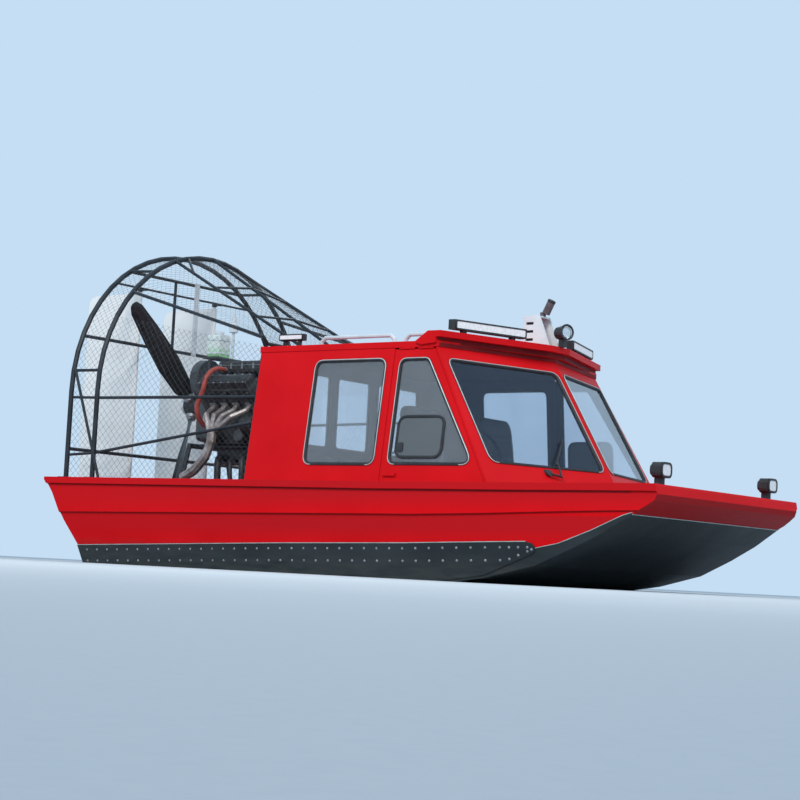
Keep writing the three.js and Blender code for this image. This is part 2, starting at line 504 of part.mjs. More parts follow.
// ribs fan out from the mid hoop to a bar at the cabin roof: [y on the hoop, y and z at the bar]
const ribTable = [[-837, -926, HOOD_Z + 41], [-410, -424, HOOD_Z], [0, 0, HOOD_Z],
  [410, 424, HOOD_Z], [837, 926, HOOD_Z + 41]];
const hoodRibs = ribTable.map(([from, y, z]) =>
  [onHoop(MID_FACE - 4, MID_HOOP_R, from), [HOOD_X, y, z]]);
const alongRib = (i, t) => hoodRibs[i][0].map((v, k) => v + (hoodRibs[i][1][k] - v) * t);
const hoodBrace = tube([onHoop(MID_FACE - 4, MID_HOOP_R, -281), alongRib(1, 0.14)], 10, 6);
put("cage_hood", join(
  ...hoodRibs.map((rib) => tube(rib, 12, 6)), hoodBrace, mirrorY(hoodBrace),
  ...[0.3, 0.62].map((t) => tube([1, 2, 3].map((i) => alongRib(i, t)), 9, 6)),
  tube([[HOOD_X, -926, HOOD_Z + 41], [HOOD_X, -880, HOOD_Z], [HOOD_X, 880, HOOD_Z],
    [HOOD_X, 926, HOOD_Z + 41]], 14, 6),
  ...[-600, 600].map((y) => tube([[HOOD_X, y, HOOD_Z], [HOOD_X + 70, y, ROOF_TOP + 14],
    [HOOD_X + 110, y, ROOF_TOP + 14]], 10, 6)),
  ...[-600, 600].map((y) => box(HOOD_X + 70, HOOD_X + 120, y - 25, y + 25,
    ROOF_TOP + GAP, ROOF_TOP + 8))).subtract(
  box(0, MID_FACE, -1300, 1300, 600, 2600)), "frame");

// guard beside the engine: two rows from the hoop to a post at the cabin's rear corner
const GUARD_X = 1768, GUARD_TOP = 1590;
const postY = (z) => -(sideY(z) - 48);
const guardRow = (z0, z1) => tube(
  [[MID_HOOP_X, -MID_HOOP_R + 4, z0], [GUARD_X, postY(z1), z1]], 11, 6);
const guard = join(
  tube([[GUARD_X, postY(661), deckLine + 6], [GUARD_X, postY(GUARD_TOP), GUARD_TOP]], 13, 6),
  guardRow(1238, 1243), guardRow(840, 1067),
  box(GUARD_X - 24, GUARD_X + 26, postY(661) - 24, postY(661) + 24, deckLine, deckLine + 10),
).subtract(box(0, MID_FACE, -1300, 1300, 600, 2600));
put("cage_guard_starboard", guard, "frame");
put("cage_guard_port", mirrorY(guard), "frame");

// Rudders
const rudderSide = section([[RUDDER_REAR, 712], ...rounded([[RUDDER_REAR, 1900],
  [RUDDER_REAR, RUDDER_TOP], [-200, RUDDER_TOP]], 80).slice(4, 8), [83, RUDDER_TOP], [83, 712]]);
const rudder = (y) => join(
  prismZ([[RUDDER_REAR, y - 3], [-60, y - 11], [RUDDER_POST_X, y - 14], [79, y - 8], [83, y],
    [79, y + 8], [RUDDER_POST_X, y + 14], [-60, y + 11], [RUDDER_REAR, y + 3]], 712, RUDDER_TOP)
    .intersect(prismY(rudderSide, y - 40, y + 40)),
  disc(12, "z", 694.4, RUDDER_TOP + 15.6, [RUDDER_POST_X, y], 10));
put("rudder_starboard", rudder(-RUDDER_Y), "pale");
put("rudder_port", rudder(RUDDER_Y), "pale");
put("rudder_shelf", join(box(34, 90, -640, 640, deckLine, deckLine + 26),
  ...[-RUDDER_Y, RUDDER_Y].map((y) => disc(20, "z", deckLine + 20, 694, [RUDDER_POST_X, y], 10))),
"frame");

// Inside the cabin
const FLOOR = 135 + GAP;
const cushion = (x0, x1, y0, y1, z0, z1) =>
  prismX(rounded([[y0, z0], [y0, z1], [y1, z1], [y1, z0]], 35), x0, x1);
const backrest = (x, y, w) => prismX(rounded([[y - w, 640], [y - w, 1230], [y + w, 1230],
  [y + w, 640]], 90), 0, 90).warp((v) => { v[0] += x - (v[2] - 640) * 0.16; });
const seat = (x, y) => join(
  cushion(x, x + 440, y - 230, y + 230, 520, 640), backrest(x - 10, y, 225),
  box(x + 60, x + 360, y - 150, y + 150, FLOOR, 530));
put("driver_seat", seat(2820, -430), "seat");
put("passenger_seat", seat(2820, 430), "seat");
put("rear_bench", join(
  cushion(1960, 2400, -820, 820, 440, 560), prismX(rounded(
    [[-820, 550], [-820, 905], [820, 905], [820, 550]], 60), 1870, 1970),
  box(1900, 2360, -800, 800, FLOOR, 450)), "seat");
const dashHalf = prismZ([[3360, -1000], [3585, -1000], [3760, 0], [3560, 0]], 560, 800);
const dash = join(dashHalf, mirrorY(dashHalf), box(3500, 3700, -560, 560, FLOOR, 570))
  .intersect(inHull(3000, 4000, 100, 900));
put("dashboard", dash, "dark");
const RIM = 165;
const rim = Array.from({ length: 12 }, (_, i) => {
  const a = (i * Math.PI) / 6;
  return [3330 - RIM * 0.42 * Math.sin(a), -430 + RIM * Math.cos(a), 900 + RIM * 0.9 * Math.sin(a)];
});
const ringOf = (pts, r, n) => join(...pts.map((p, i) => {
  const q = pts[(i + 1) % pts.length];
  return tube([add(p, sub(q, p), -0.03), add(q, sub(q, p), 0.03)], r, n);
}));
put("steering_wheel", join(ringOf(rim, 12, 5), tube([[3330, -430, 900], [3500, -430, 812]], 20, 8),
  tube([rim[0], rim[6]], 9, 5), tube([rim[3], rim[9]], 9, 5))
  .subtract(box(3400, 3600, -500, -300, 700, 800 + GAP)), "dark");

boat.position.set(-ORIGIN_X, 0, 0);
boat.updateMatrixWorld(true);
export default boat;
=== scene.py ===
from math import acos, cos, exp, hypot, pi, radians, sin, sqrt, tan

import bpy
from mathutils import Matrix, Vector
from mathutils.bvhtree import BVHTree


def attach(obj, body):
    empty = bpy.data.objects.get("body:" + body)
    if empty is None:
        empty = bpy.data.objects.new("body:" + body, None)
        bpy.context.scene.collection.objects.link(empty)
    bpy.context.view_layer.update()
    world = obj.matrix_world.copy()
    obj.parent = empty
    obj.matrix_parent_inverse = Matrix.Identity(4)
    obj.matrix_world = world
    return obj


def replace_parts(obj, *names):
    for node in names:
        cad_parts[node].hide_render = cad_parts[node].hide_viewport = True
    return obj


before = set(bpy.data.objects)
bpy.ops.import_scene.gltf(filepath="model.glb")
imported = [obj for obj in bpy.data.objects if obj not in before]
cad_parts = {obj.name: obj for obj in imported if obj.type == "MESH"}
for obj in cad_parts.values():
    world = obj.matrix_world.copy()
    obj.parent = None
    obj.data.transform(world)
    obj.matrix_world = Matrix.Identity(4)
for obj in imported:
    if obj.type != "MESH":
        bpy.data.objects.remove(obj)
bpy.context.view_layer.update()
scene = bpy.context.scene
scene.view_settings.view_transform = "Standard"

# The boat's own measures, in millimetres, as in its CAD source
ORIGIN_X, WATERLINE = 2209.5, 55
ROOF_Z, VISOR_TOP = 1545, 1648
CABIN_REAR, SEAM_X = 1800, 2945
SHIELD_X, SHIELD_Z, SHIELD_RAKE, SHIELD_V = 3597, 1473, 0.615, 0.279
SIDE_HALF, SIDE_FOOT, TUMBLEHOME, PANEL_T = 1079, 680, 0.126, 20
BROW_X, BROW_V, BROW_HALF, BROW_NOSE, LIP_REACH, LIP_Z = 3634, 0.329, 988, 105, 38, 1607
HUB_Z, PROP_X = 1289, 292
REAR_HOOP_X, REAR_HOOP_R, MID_HOOP_X, MID_HOOP_R, HOOP_FOOT = 142, 1140, 396, 1128, 665
HOOD_X, HOOD_Z, HOOD_HALF, HOOD_FLAT, HOOD_RISE, HOOD_TOP_HALF = 1765, 1619, 926, 424, 41, 837
GUARD_X, GUARD_FOOT, GUARD_FOOT_HALF, GUARD_TOP, GUARD_TOP_HALF = 1768, 668, 1036, 1600, 918
BLOCK_SIDE, INTAKE_SIDE = 150.4, 130.4


def at(x, y, z):
    """A point of the row frame in metres, from the boat's millimetres."""
    return Vector(((x - ORIGIN_X) / 1000, y / 1000, z / 1000))


def side_y(z):
    """Half breadth of the cabin's side at a height."""
    return SIDE_HALF - TUMBLEHOME * (z - SIDE_FOOT)


def shield_x(z):
    """Where the windshield's middle line stands at a height."""
    return SHIELD_X + (SHIELD_Z - z) * SHIELD_RAKE


def spaced(first, last, steps):
    """Evenly spaced values from first to last, both included."""
    return [first + (last - first) * i / steps for i in range(steps + 1)]


def add(name, data):
    """New object in the scene."""
    o = bpy.data.objects.new(name, data)
    scene.collection.objects.link(o)
    return o


# Camera: the photograph's view from just above the water
YAW, PITCH, ROLL = 0.6456, 0.0886, 0.0509
LENS, SENSOR = 88.785, 36
CAMERA_PLACE = (8.4277, -11.1079, 0.0765)
cam_data = bpy.data.cameras.new("photo_camera")
cam_data.lens, cam_data.sensor_width = LENS, SENSOR
cam_data.clip_start, cam_data.clip_end = 0.1, 500
camera = add("photo_camera", cam_data)
camera.matrix_world = (
    Matrix.Translation(CAMERA_PLACE) @ Matrix.Rotation(YAW, 4, "Z")
    @ Matrix.Rotation(pi / 2 + PITCH, 4, "X") @ Matrix.Rotation(ROLL, 4, "Z")
)
scene.camera = camera


# Shader nodes
MIX_A, MIX_B, MIX_OUT = 6, 7, 2  # the colour sockets of a Mix node


def feed(tree, socket, value):
    """Links a socket to another one, or sets it to a constant."""
    if isinstance(value, bpy.types.NodeSocket):
        tree.links.new(value, socket)
    else:
        socket.default_value = value


def node(tree, kind, **values):
    """New node; a value sets the property of that name, or else feeds the socket."""
    n = tree.nodes.new(kind)
    for key, value in values.items():
        if hasattr(n, key):
            setattr(n, key, value)
        else:
            feed(tree, n.inputs[key.replace("_", " ")], value)
    return n


def ramp(tree, source, dark, light):
    """Colour from dark to light over the middle of a noise's range."""
    n = node(tree, "ShaderNodeValToRGB", Fac=source)
    first, last = n.color_ramp.elements
    first.position, last.position = 0.3, 0.7
    first.color, last.color = (*dark, 1), (*light, 1)
    return n.outputs["Color"]


def spread(tree, source, low, high, start=0.25, end=0.75):
    """Maps a value's run from start to end onto low to high."""
    n = node(tree, "ShaderNodeMapRange", Value=source, From_Min=start, From_Max=end, To_Min=low,
             To_Max=high)
    return n.outputs["Result"]


def blend_colour(tree, factor, a, b):
    """Colour a where the factor is 0, and b, a socket or a fixed tone, where it is 1."""
    n = node(tree, "ShaderNodeMix", data_type="RGBA", Factor=factor)
    feed(tree, n.inputs[MIX_A], a)
    feed(tree, n.inputs[MIX_B], (*b, 1) if isinstance(b, tuple) else b)
    return n.outputs[MIX_OUT]


def maths(tree, operation, *values):
    n = node(tree, "ShaderNodeMath", operation=operation)
    for socket, value in zip(n.inputs, values):
        feed(tree, socket, value)
    return n.outputs[0]


def noise_of(tree, coords, scale, detail, stretch=None):
    if stretch:
        coords = node(tree, "ShaderNodeMapping", Vector=coords, Scale=stretch).outputs["Vector"]
    return node(tree, "ShaderNodeTexNoise", Vector=coords, Scale=scale, Detail=detail).outputs["Fac"]


def axes_of(tree, vector):
    return node(tree, "ShaderNodeSeparateXYZ", Vector=vector).outputs


def true_normal(tree):
    return node(tree, "ShaderNodeNewGeometry").outputs["True Normal"]


# Masks by place, in metres
KNUCKLE_SLOPE, KNUCKLE_Z, PANEL_RISE = 0.0192, 0.440, 0.195
GUNWALE_SHARE, SIDEWAYS, DOWNWARD = 0.96, 0.6, -0.3


def below(tree, coords, low, high):
    """1 under the height low, and 0 over the height high."""
    return spread(tree, axes_of(tree, coords)["Z"], 1, 0, low, high)


def inside_mask(tree, coords):
    """1 on the cabin's inner faces and 0 outside, from the place of the panels' mid planes."""
    x, y, z = axes_of(tree, coords)
    half = maths(tree, "ABSOLUTE", y)
    side = maths(tree, "MULTIPLY_ADD", z, TUMBLEHOME, -(side_y(0) - PANEL_T / 2) / 1000)
    side = maths(tree, "ADD", side, half)
    front = maths(tree, "MULTIPLY_ADD", z, SHIELD_RAKE, -(shield_x(0) - PANEL_T / 2 - ORIGIN_X) / 1000)
    sweep = maths(tree, "MULTIPLY", half, SHIELD_V)
    front = maths(tree, "ADD", maths(tree, "ADD", front, sweep), x)
    rear = maths(tree, "SUBTRACT", (CABIN_REAR + PANEL_T / 2 - ORIGIN_X) / 1000, x)
    top = maths(tree, "SUBTRACT", z, (ROOF_Z + 1) / 1000)
    worst = side
    for limit in (front, rear, top):
        worst = maths(tree, "MAXIMUM", worst, limit)
    return maths(tree, "LESS_THAN", worst, 0)


def panel_shade_mask(tree, coords):
    """Painted shade on the hull's sides: 1 along the top of each formed panel and on the gunwale,
    and 0 at a panel's foot. It weakens toward the stern."""
    x, y, z = axes_of(tree, coords)
    knuckle = maths(tree, "MULTIPLY_ADD", x, KNUCKLE_SLOPE, KNUCKLE_Z)
    share = maths(tree, "DIVIDE", maths(tree, "SUBTRACT", z, knuckle), PANEL_RISE)
    shade = spread(tree, maths(tree, "FRACT", share), 0, 1, 0.12, 0.6)
    shade = maths(tree, "MAXIMUM", shade, maths(tree, "GREATER_THAN", share, GUNWALE_SHARE))
    across = maths(tree, "ABSOLUTE", axes_of(tree, true_normal(tree))["Y"])
    side = maths(tree, "GREATER_THAN", across, SIDEWAYS)
    forward = spread(tree, x, 0.35, 1, -2.2, 0)
    return maths(tree, "MULTIPLY", maths(tree, "MULTIPLY", shade, side), forward)


def underside_shade_mask(tree):
    """1 on faces that look down, where the hull's red is darkened as painted shade."""
    return maths(tree, "LESS_THAN", axes_of(tree, true_normal(tree))["Z"], DOWNWARD)


def wear_mask(tree, coords, rounded_normal):
    """1 in patches along sharp edges, where the rounded normal leaves the true one."""
    dot = node(tree, "ShaderNodeVectorMath", operation="DOT_PRODUCT")
    feed(tree, dot.inputs[0], true_normal(tree))
    feed(tree, dot.inputs[1], rounded_normal)
    worn = spread(tree, dot.outputs["Value"], 0.75, 0, 0.86, 0.99)
    patchy = spread(tree, noise_of(tree, coords, 22, 8), 0, 1, 0.45, 0.62)
    return maths(tree, "MULTIPLY", worn, patchy)


# Materials
def material(name, dark, light, rough=0.4, metal=0, patch=2.5, grain=180, depth=0.0003,
             swing=0.08, coat=0, edge=None, bevel=0, stretch=None, low_dirt=None,
             lining_and_shade=None, bump_scale=None, fade=None, panels=None, under=None, **sockets):
    """Paint, metal or plastic: colour varies from dark to light in patches, roughness by grain,
    with a fine bump. Other tones lie on top: low_dirt and fade are (low, high, tone) by height,
    panels and under are painted shade on the hull's side panels and downward faces, edge belongs
    to worn edges, and lining_and_shade darkens the cabin's inside, partly as painted shade."""
    m = bpy.data.materials.new(name)
    m.use_nodes = True
    t = m.node_tree
    bsdf = t.nodes["Principled BSDF"]
    coords = node(t, "ShaderNodeTexCoord").outputs["Object"]
    colour = ramp(t, noise_of(t, coords, patch, 6, stretch), dark, light)
    fine = noise_of(t, coords, grain, 3, stretch)
    roughness = spread(t, fine, max(0.02, rough - swing), min(1, rough + swing))
    if low_dirt:
        low, high, tone = low_dirt
        smear = spread(t, noise_of(t, coords, 9, 8, (0.6, 0.6, 3)), 0, 1, 0.35, 0.7)
        colour = blend_colour(t, maths(t, "MULTIPLY", below(t, coords, low, high), smear), colour, tone)
    # painted shade: darker red along the top of each hull panel and on the gunwale
    if panels:
        colour = blend_colour(t, panel_shade_mask(t, coords), colour, panels)
    # painted shade: darker red on faces that look down
    if under:
        colour = blend_colour(t, underside_shade_mask(t), colour, under)
    if fade:
        low, high, tone = fade
        colour = blend_colour(t, below(t, coords, low, high), colour, tone)
    bump = node(t, "ShaderNodeBump", Strength=0.6, Distance=depth,
                Height=noise_of(t, coords, bump_scale or grain, 4, stretch))
    if bevel:
        rounded_normal = node(t, "ShaderNodeBevel", samples=4, Radius=bevel).outputs["Normal"]
        feed(t, bump.inputs["Normal"], rounded_normal)
        if edge:
            colour = blend_colour(t, wear_mask(t, coords, rounded_normal), colour, edge)
    # inner faces turn dark navy: an inside coat, and painted shade in the cabin
    if lining_and_shade:
        inside = inside_mask(t, coords)
        colour = blend_colour(t, inside, colour, ramp(t, noise_of(t, coords, 320, 2), *lining_and_shade))
        mix = node(t, "ShaderNodeMix", Factor=inside, A=roughness, B=LINING_ROUGH)
        roughness = mix.outputs["Result"]
    sockets |= {"Base_Color": colour, "Roughness": roughness, "Normal": bump.outputs["Normal"],
                "Metallic": metal, "Coat_Weight": coat, "Coat_Roughness": 0.12}
    for key, value in sockets.items():
        feed(t, bsdf.inputs[key.replace("_", " ")], value)
    return m


# dark navy for the cabin's inner faces: an inside coat, and painted shade in the cabin seen through the
# glass
LINING_AND_SHADE, LINING_ROUGH = ((0.021, 0.038, 0.074), (0.028, 0.046, 0.084)), 0.85
# marine red carries painted shade: panels darken the tops of the side panels, under the downward faces
red = material(
    "marine_red", (0.62, 0.002, 0.005), (0.68, 0.004, 0.008), 0.45, Specular_IOR_Level=0.06,
    depth=0.00012, bump_scale=70, bevel=0.003, edge=(0.6, 0.03, 0.03),
    low_dirt=(0.05, 0.26, (0.2, 0.045, 0.038)), panels=(0.51, 0.007, 0.011), under=(0.33, 0.004, 0.006))
cabin_red = material(
    "cabin_red", (0.55, 0.003, 0.006), (0.62, 0.005, 0.009), 0.45, Specular_IOR_Level=0.08,
    depth=0.00012, bump_scale=70, bevel=0.003, lining_and_shade=LINING_AND_SHADE)
black = material(
    "black_polymer", (0.011, 0.017, 0.019), (0.025, 0.034, 0.037), 0.5, patch=5, stretch=(0.4, 1, 1),
    Specular_IOR_Level=0.25, depth=0.0006, bevel=0.003, edge=(0.07, 0.075, 0.075),
    low_dirt=(0.04, 0.24, (0.05, 0.054, 0.05)))
# painted shadow: the dark red of the line under the gunwale and of the faces under the brow's lip and the
# roof's edge
maroon = material(
    "red_shadow_line", (0.13, 0.007, 0.009), (0.2, 0.011, 0.013), 0.6, patch=4, Specular_IOR_Level=0.1)
deck = material(
    "deck_paint", (0.035, 0.038, 0.042), (0.075, 0.078, 0.082), 0.75, patch=6, grain=420, depth=0.0012)
tub_grey = material(
    "tub_grey", (0.1, 0.105, 0.112), (0.16, 0.165, 0.17), 0.65, patch=4, grain=300, depth=0.0009)
frame_paint = material(
    "frame_paint", (0.011, 0.015, 0.02), (0.027, 0.033, 0.042), 0.42, Specular_IOR_Level=0.3, patch=9,
    edge=(0.16, 0.16, 0.16), bevel=0.002)
aluminium = material(
    "bare_aluminium", (0.6, 0.61, 0.62), (0.78, 0.79, 0.8), 0.42, 0.35, patch=4, stretch=(0.5, 1, 3),
    depth=0.0003, bevel=0.002)
cast = material(
    "cast_aluminium", (0.26, 0.27, 0.28), (0.42, 0.43, 0.44), 0.5, 0.8, patch=14, depth=0.0012,
    bump_scale=160, bevel=0.003)
chrome = material(
    "chrome_pipe", (0.26, 0.21, 0.19), (0.62, 0.57, 0.55), 0.56, 0.8, patch=14, depth=0.0004)
engine_black = material(
    "engine_black", (0.01, 0.011, 0.012), (0.045, 0.046, 0.047), 0.5, patch=12, depth=0.0018,
    bump_scale=90, bevel=0.004, edge=(0.16, 0.15, 0.14))
carbon = material(
    "carbon_blade", (0.01, 0.011, 0.013), (0.026, 0.028, 0.031), 0.34, coat=0.15, patch=20,
    stretch=(1, 1, 6), depth=0.0003)
white_plastic = material(
    "white_plastic", (0.62, 0.68, 0.7), (0.74, 0.8, 0.82), 0.4, patch=8, bevel=0.002)
plastic = material(
    "dark_plastic", (0.01, 0.012, 0.015), (0.028, 0.031, 0.036), 0.5, patch=10, grain=380, depth=0.0006,
    bevel=0.003)
rubber = material(
    "black_rubber", (0.006, 0.008, 0.011), (0.018, 0.021, 0.026), 0.62, patch=12, depth=0.0005)
# painted highlight: pale trim for light on the window gaskets' upper outer faces
highlight_trim = material("painted_highlight_trim", (0.38, 0.42, 0.41), (0.54, 0.58, 0.56), 0.45, 0.2, patch=16)
steel = material("rivet_steel", (0.16, 0.17, 0.19), (0.3, 0.32, 0.35), 0.5, 0.3, patch=30)
edge_bead = material("edge_bead", (0.26, 0.34, 0.33), (0.42, 0.52, 0.5), 0.45, 0.2, patch=12)
belt_black = material("drive_belt", (0.008, 0.008, 0.009), (0.02, 0.02, 0.021), 0.7, patch=30)
spinner_white = material("spinner_white", (0.62, 0.64, 0.65), (0.8, 0.82, 0.83), 0.3, patch=9)
dark_cast = material(
    "dark_casting", (0.06, 0.065, 0.07), (0.13, 0.14, 0.15), 0.5, 0.5, patch=14, depth=0.0012,
    bump_scale=160, bevel=0.003)
cream = material("relay_box", (0.42, 0.36, 0.34), (0.58, 0.52, 0.5), 0.45, patch=14)
wire = material("cage_wire", (0.055, 0.06, 0.066), (0.11, 0.12, 0.125), 0.5, 0.2, patch=20)
rudder_paint = material(
    "rudder_paint", (0.8, 0.79, 0.77), (0.87, 0.86, 0.84), 0.5, patch=3, stretch=(0.5, 1, 3),
    bevel=0.002, low_dirt=(0.8, 1.6, (0.72, 0.72, 0.7)))
rail_grey = material("rail_paint", (0.46, 0.54, 0.58), (0.58, 0.67, 0.71), 0.4, patch=6)
vinyl = material(
    "marine_vinyl", (0.022, 0.025, 0.029), (0.05, 0.055, 0.06), 0.48, patch=6, grain=260, depth=0.0007,
    bump_scale=420)
silicone = material("red_silicone", (0.3, 0.03, 0.02), (0.46, 0.07, 0.045), 0.4, patch=14)
reflector = material("reflector", (0.7, 0.72, 0.74), (0.88, 0.89, 0.9), 0.12, 1, patch=20)
led = material(
    "led_face", (0.58, 0.6, 0.61), (0.78, 0.79, 0.8), 0.22, patch=60, Emission_Strength=0.1,
    Emission_Color=(0.95, 0.97, 1, 1))
brown = material("camera_brown", (0.06, 0.046, 0.052), (0.14, 0.105, 0.11), 0.45, patch=16, bevel=0.002)
fluid = material(
    "coolant_tank", (0.72, 0.8, 0.76), (0.84, 0.88, 0.86), 0.34, patch=3, Subsurface_Weight=0.2,
    fade=(1.66, 1.735, (0.3, 0.62, 0.3)))


def glass_material(name, tint, rough=0.02, clear=1, ior=1.45, **sockets):
    """Tinted glass; clear is the share of light that goes through."""
    light = tuple(min(1, v * 1.08) for v in tint)
    return material(name, tint, light, rough, swing=0.015, patch=1.5, grain=6, depth=0.00005,
                    bump_scale=2, Transmission_Weight=clear, IOR=ior, **sockets)


glass = glass_material("side_glass", (0.8, 0.85, 0.9), clear=0.91)
shield_glass = glass_material("shield_glass", (0.7, 0.76, 0.84), ior=1.3, clear=0.985,
                              Specular_Tint=(0.18, 0.52, 1, 1))
hatch_glass = glass_material("hatch_glass", (0.13, 0.145, 0.155), rough=0.1, clear=0.3)
clear = glass_material("clear_lens", (0.93, 0.95, 0.97))

# The looks of the solids; a word that ends in _ stands for its starboard and port solids
LOOKS = {
    red: "hull_shell deck_rim fore_deck",
    cabin_red: "side_panel_ door_ windshield_frame rear_wall cabin_roof",
    black: "bottom_sheet chine_strip_",
    deck: "engine_floor",
    tub_grey: "cabin_tub",
    glass: "side_glass_ door_glass_ rear_glass_ rear_glass_middle",
    shield_glass: "windshield_glass_",
    rail_grey: "roof_rail_",
    rudder_paint: "rudder_",
    aluminium: "cage_post",
    white_plastic: "lamp_bracket beacon",
    fluid: "coolant_tank",
    plastic: "searchlight bow_lamp_ dashboard light_bar_ side_lamp wiper",
    rubber: "steering_wheel",
    brown: "camera",
    engine_black: "engine_block intake accessory_drive",
    chrome: "exhaust_header_",
    dark_cast: "reduction_drive",
    frame_paint: "engine_stand cage_rear_hoop cage_mid_hoop cage_hood cage_guard_ rudder_shelf",
    carbon: "propeller",
    vinyl: "driver_seat passenger_seat rear_bench",
}
TUBED = ("cage_", "roof_rail", "exhaust", "engine_stand")
TURNED = ("propeller", "steering", "searchlight", "camera", "beacon")
TUBED_ANGLE, TURNED_ANGLE, PIECE_ANGLE = radians(62), radians(40), radians(38)
for look_of, words in LOOKS.items():
    for name in [word + side for word in words.split()
                 for side in (("starboard", "port") if word.endswith("_") else ("",))]:
        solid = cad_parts[name].data
        solid.materials.clear()
        solid.materials.append(look_of)
        if name.startswith(TUBED + TURNED):
            solid.shade_smooth()
            solid.set_sharp_from_angle(angle=TUBED_ANGLE if name.startswith(TUBED) else TURNED_ANGLE)


# Mesh building
def ring_angles(sides, shift=0):
    return [2 * pi * (j + shift) / sides for j in range(sides)]


class Build:
    """Collects tubes, rings, boxes and discs, given in the boat's millimetres, as one mesh."""

    def __init__(self):
        self.verts, self.faces = [], []

    def rings(self, rings, closed=False):
        """Skins rings of points one after another, with a face at each open end."""
        base, n, count = len(self.verts), len(rings[0]), len(rings)
        for ring in rings:
            self.verts += [tuple(v) for v in ring]
        for i in range(count if closed else count - 1):
            a, b = base + i * n, base + ((i + 1) % count) * n
            self.faces += [(a + j, a + (j + 1) % n, b + (j + 1) % n, b + j) for j in range(n)]
        if not closed:
            self.faces.append(tuple(base + j for j in reversed(range(n))))
            self.faces.append(tuple(base + (count - 1) * n + j for j in range(n)))
        return self

    def tube(self, path, r, sides=8, closed=False, taper=None):
        """Round bar along points; r may change to taper at its far end."""
        path = [Vector(p) for p in path]
        n = len(path)
        rings, side = [], None
        for i, p in enumerate(path):
            before = path[(i - 1) % n] if closed or i else p
            after = path[(i + 1) % n] if closed or i + 1 < n else p
            d = (after - before).normalized()
            if side is None:
                ref = Vector((1, 0, 0)) if abs(d.z) > 0.9 else Vector((0, 0, 1))
                side = d.cross(ref).normalized()
            side = (side - d * side.dot(d)).normalized()
            top = side.cross(d)
            k = r if taper is None else r + (taper - r) * i / (n - 1)
            rings.append([p + side * k * cos(a) + top * k * sin(a)
                          for a in ring_angles(sides, 0.5)])
        return self.rings(rings, closed)

    def sweep(self, loop, normal, profile, closed=True):
        """Runs a profile of (outward, raised) points round a loop that lies in a plane."""
        loop, normal = [Vector(p) for p in loop], Vector(normal).normalized()
        n = len(loop)
        centre = sum(loop, Vector()) / n
        rings = []
        for i, p in enumerate(loop):
            a = loop[(i - 1) % n] if closed or i else p
            b = loop[(i + 1) % n] if closed or i + 1 < n else p
            d1, d2 = (p - a), (b - p)
            d1 = d1.normalized() if d1.length else d2.normalized()
            d2 = d2.normalized() if d2.length else d1
            out1, out2 = d1.cross(normal), d2.cross(normal)
            out = (out1 + out2).normalized()
            out /= max(0.5, out.dot(out1))
            if out.dot(p - centre) < 0 and out1.dot(p - centre) < 0:
                out = -out
            rings.append([p + out * u + normal * v for u, v in profile])
        return self.rings(rings, closed)

    def box(self, x0, x1, y0, y1, z0, z1, cut=0):
        """Upright box; cut takes off its four standing edges."""
        outline = [(x0, y0), (x1, y0), (x1, y1), (x0, y1)]
        if cut:
            outline = [(x0 + cut, y0), (x1 - cut, y0), (x1, y0 + cut), (x1, y1 - cut),
                       (x1 - cut, y1), (x0 + cut, y1), (x0, y1 - cut), (x0, y0 + cut)]
        return self.rings([[(x, y, z) for x, y in outline] for z in (z0, z1)])

    def lathe(self, centre, axis, rows, sides=24):
        """Turned body: rows of (distance along axis, radius)."""
        c, d = Vector(centre), Vector(axis).normalized()
        side = d.cross(Vector((0, 0, 1)) if abs(d.z) < 0.9 else Vector((1, 0, 0))).normalized()
        top = side.cross(d)
        return self.rings([[c + d * h + side * r * cos(a) + top * r * sin(a)
                            for a in ring_angles(sides)] for h, r in rows])

    def dome(self, centre, axis, r, height, sides=8):
        """Rivet or bolt head."""
        rows = [(-height * 0.5, r), (0, r), (height * 0.6, r * 0.75), (height, r * 0.3)]
        return self.lathe(centre, axis, rows, sides)

    def make(self, name, look_of, body="hull", smooth=True, mirror=False):
        """The piece itself, on a body and with its finish's slot; mirror puts it to port."""
        mesh = bpy.data.meshes.new(name)
        mesh.from_pydata([at(x, -y if mirror else y, z) for x, y, z in self.verts], [], self.faces)
        if mirror:
            mesh.flip_normals()
        mesh.update()
        mesh.materials.append(look_of)
        if smooth:
            mesh.shade_smooth()
            mesh.set_sharp_from_angle(angle=PIECE_ANGLE)
        o = add(name, mesh)
        if body:
            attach(o, body)
        return o

    def both(self, name, look_of, bodies=("hull", "hull"), **options):
        """The starboard piece and its mirror image to port."""
        self.make(f"{name}_starboard", look_of, bodies[0], **options)
        self.make(f"{name}_port", look_of, bodies[1], mirror=True, **options)


# Outlines
def rounded(points, r, steps=8):
    """A flat outline with its corners rounded by short curves."""
    out = []
    for i, p in enumerate(points):
        a, b = points[i - 1], points[(i + 1) % len(points)]
        va, vb = (a[0] - p[0], a[1] - p[1]), (b[0] - p[0], b[1] - p[1])
        la, lb = hypot(*va), hypot(*vb)
        half = acos((va[0] * vb[0] + va[1] * vb[1]) / (la * lb)) / 2
        d = min(r / tan(half), la * 0.45, lb * 0.45)
        s = (p[0] + va[0] / la * d, p[1] + va[1] / la * d)
        e = (p[0] + vb[0] / lb * d, p[1] + vb[1] / lb * d)
        for k in range(steps + 1):
            t, q = k / steps, 1 - k / steps
            out.append(tuple(q * q * s[j] + 2 * q * t * p[j] + t * t * e[j] for j in (0, 1)))
    return out


def rounded_box(a0, a1, b0, b1, r, steps=8):
    return rounded([(a0, b0), (a0, b1), (a1, b1), (a1, b0)], r, steps)


def on_side(points):
    """Points (x, z) laid on the cabin's starboard side."""
    return [(x, -side_y(z), z) for x, z in points]


def on_shield(points):
    """Points (y, z) laid on the starboard half of the windshield."""
    return [(shield_x(z) + SHIELD_V * y, y, z) for y, z in points]


def plate_on_side(points, near, far):
    """Plate on the side plane, between two depths from the panel's outer face."""
    return Build().rings([[(x, -side_y(z) + d, z) for x, z in points] for d in (near, far)])
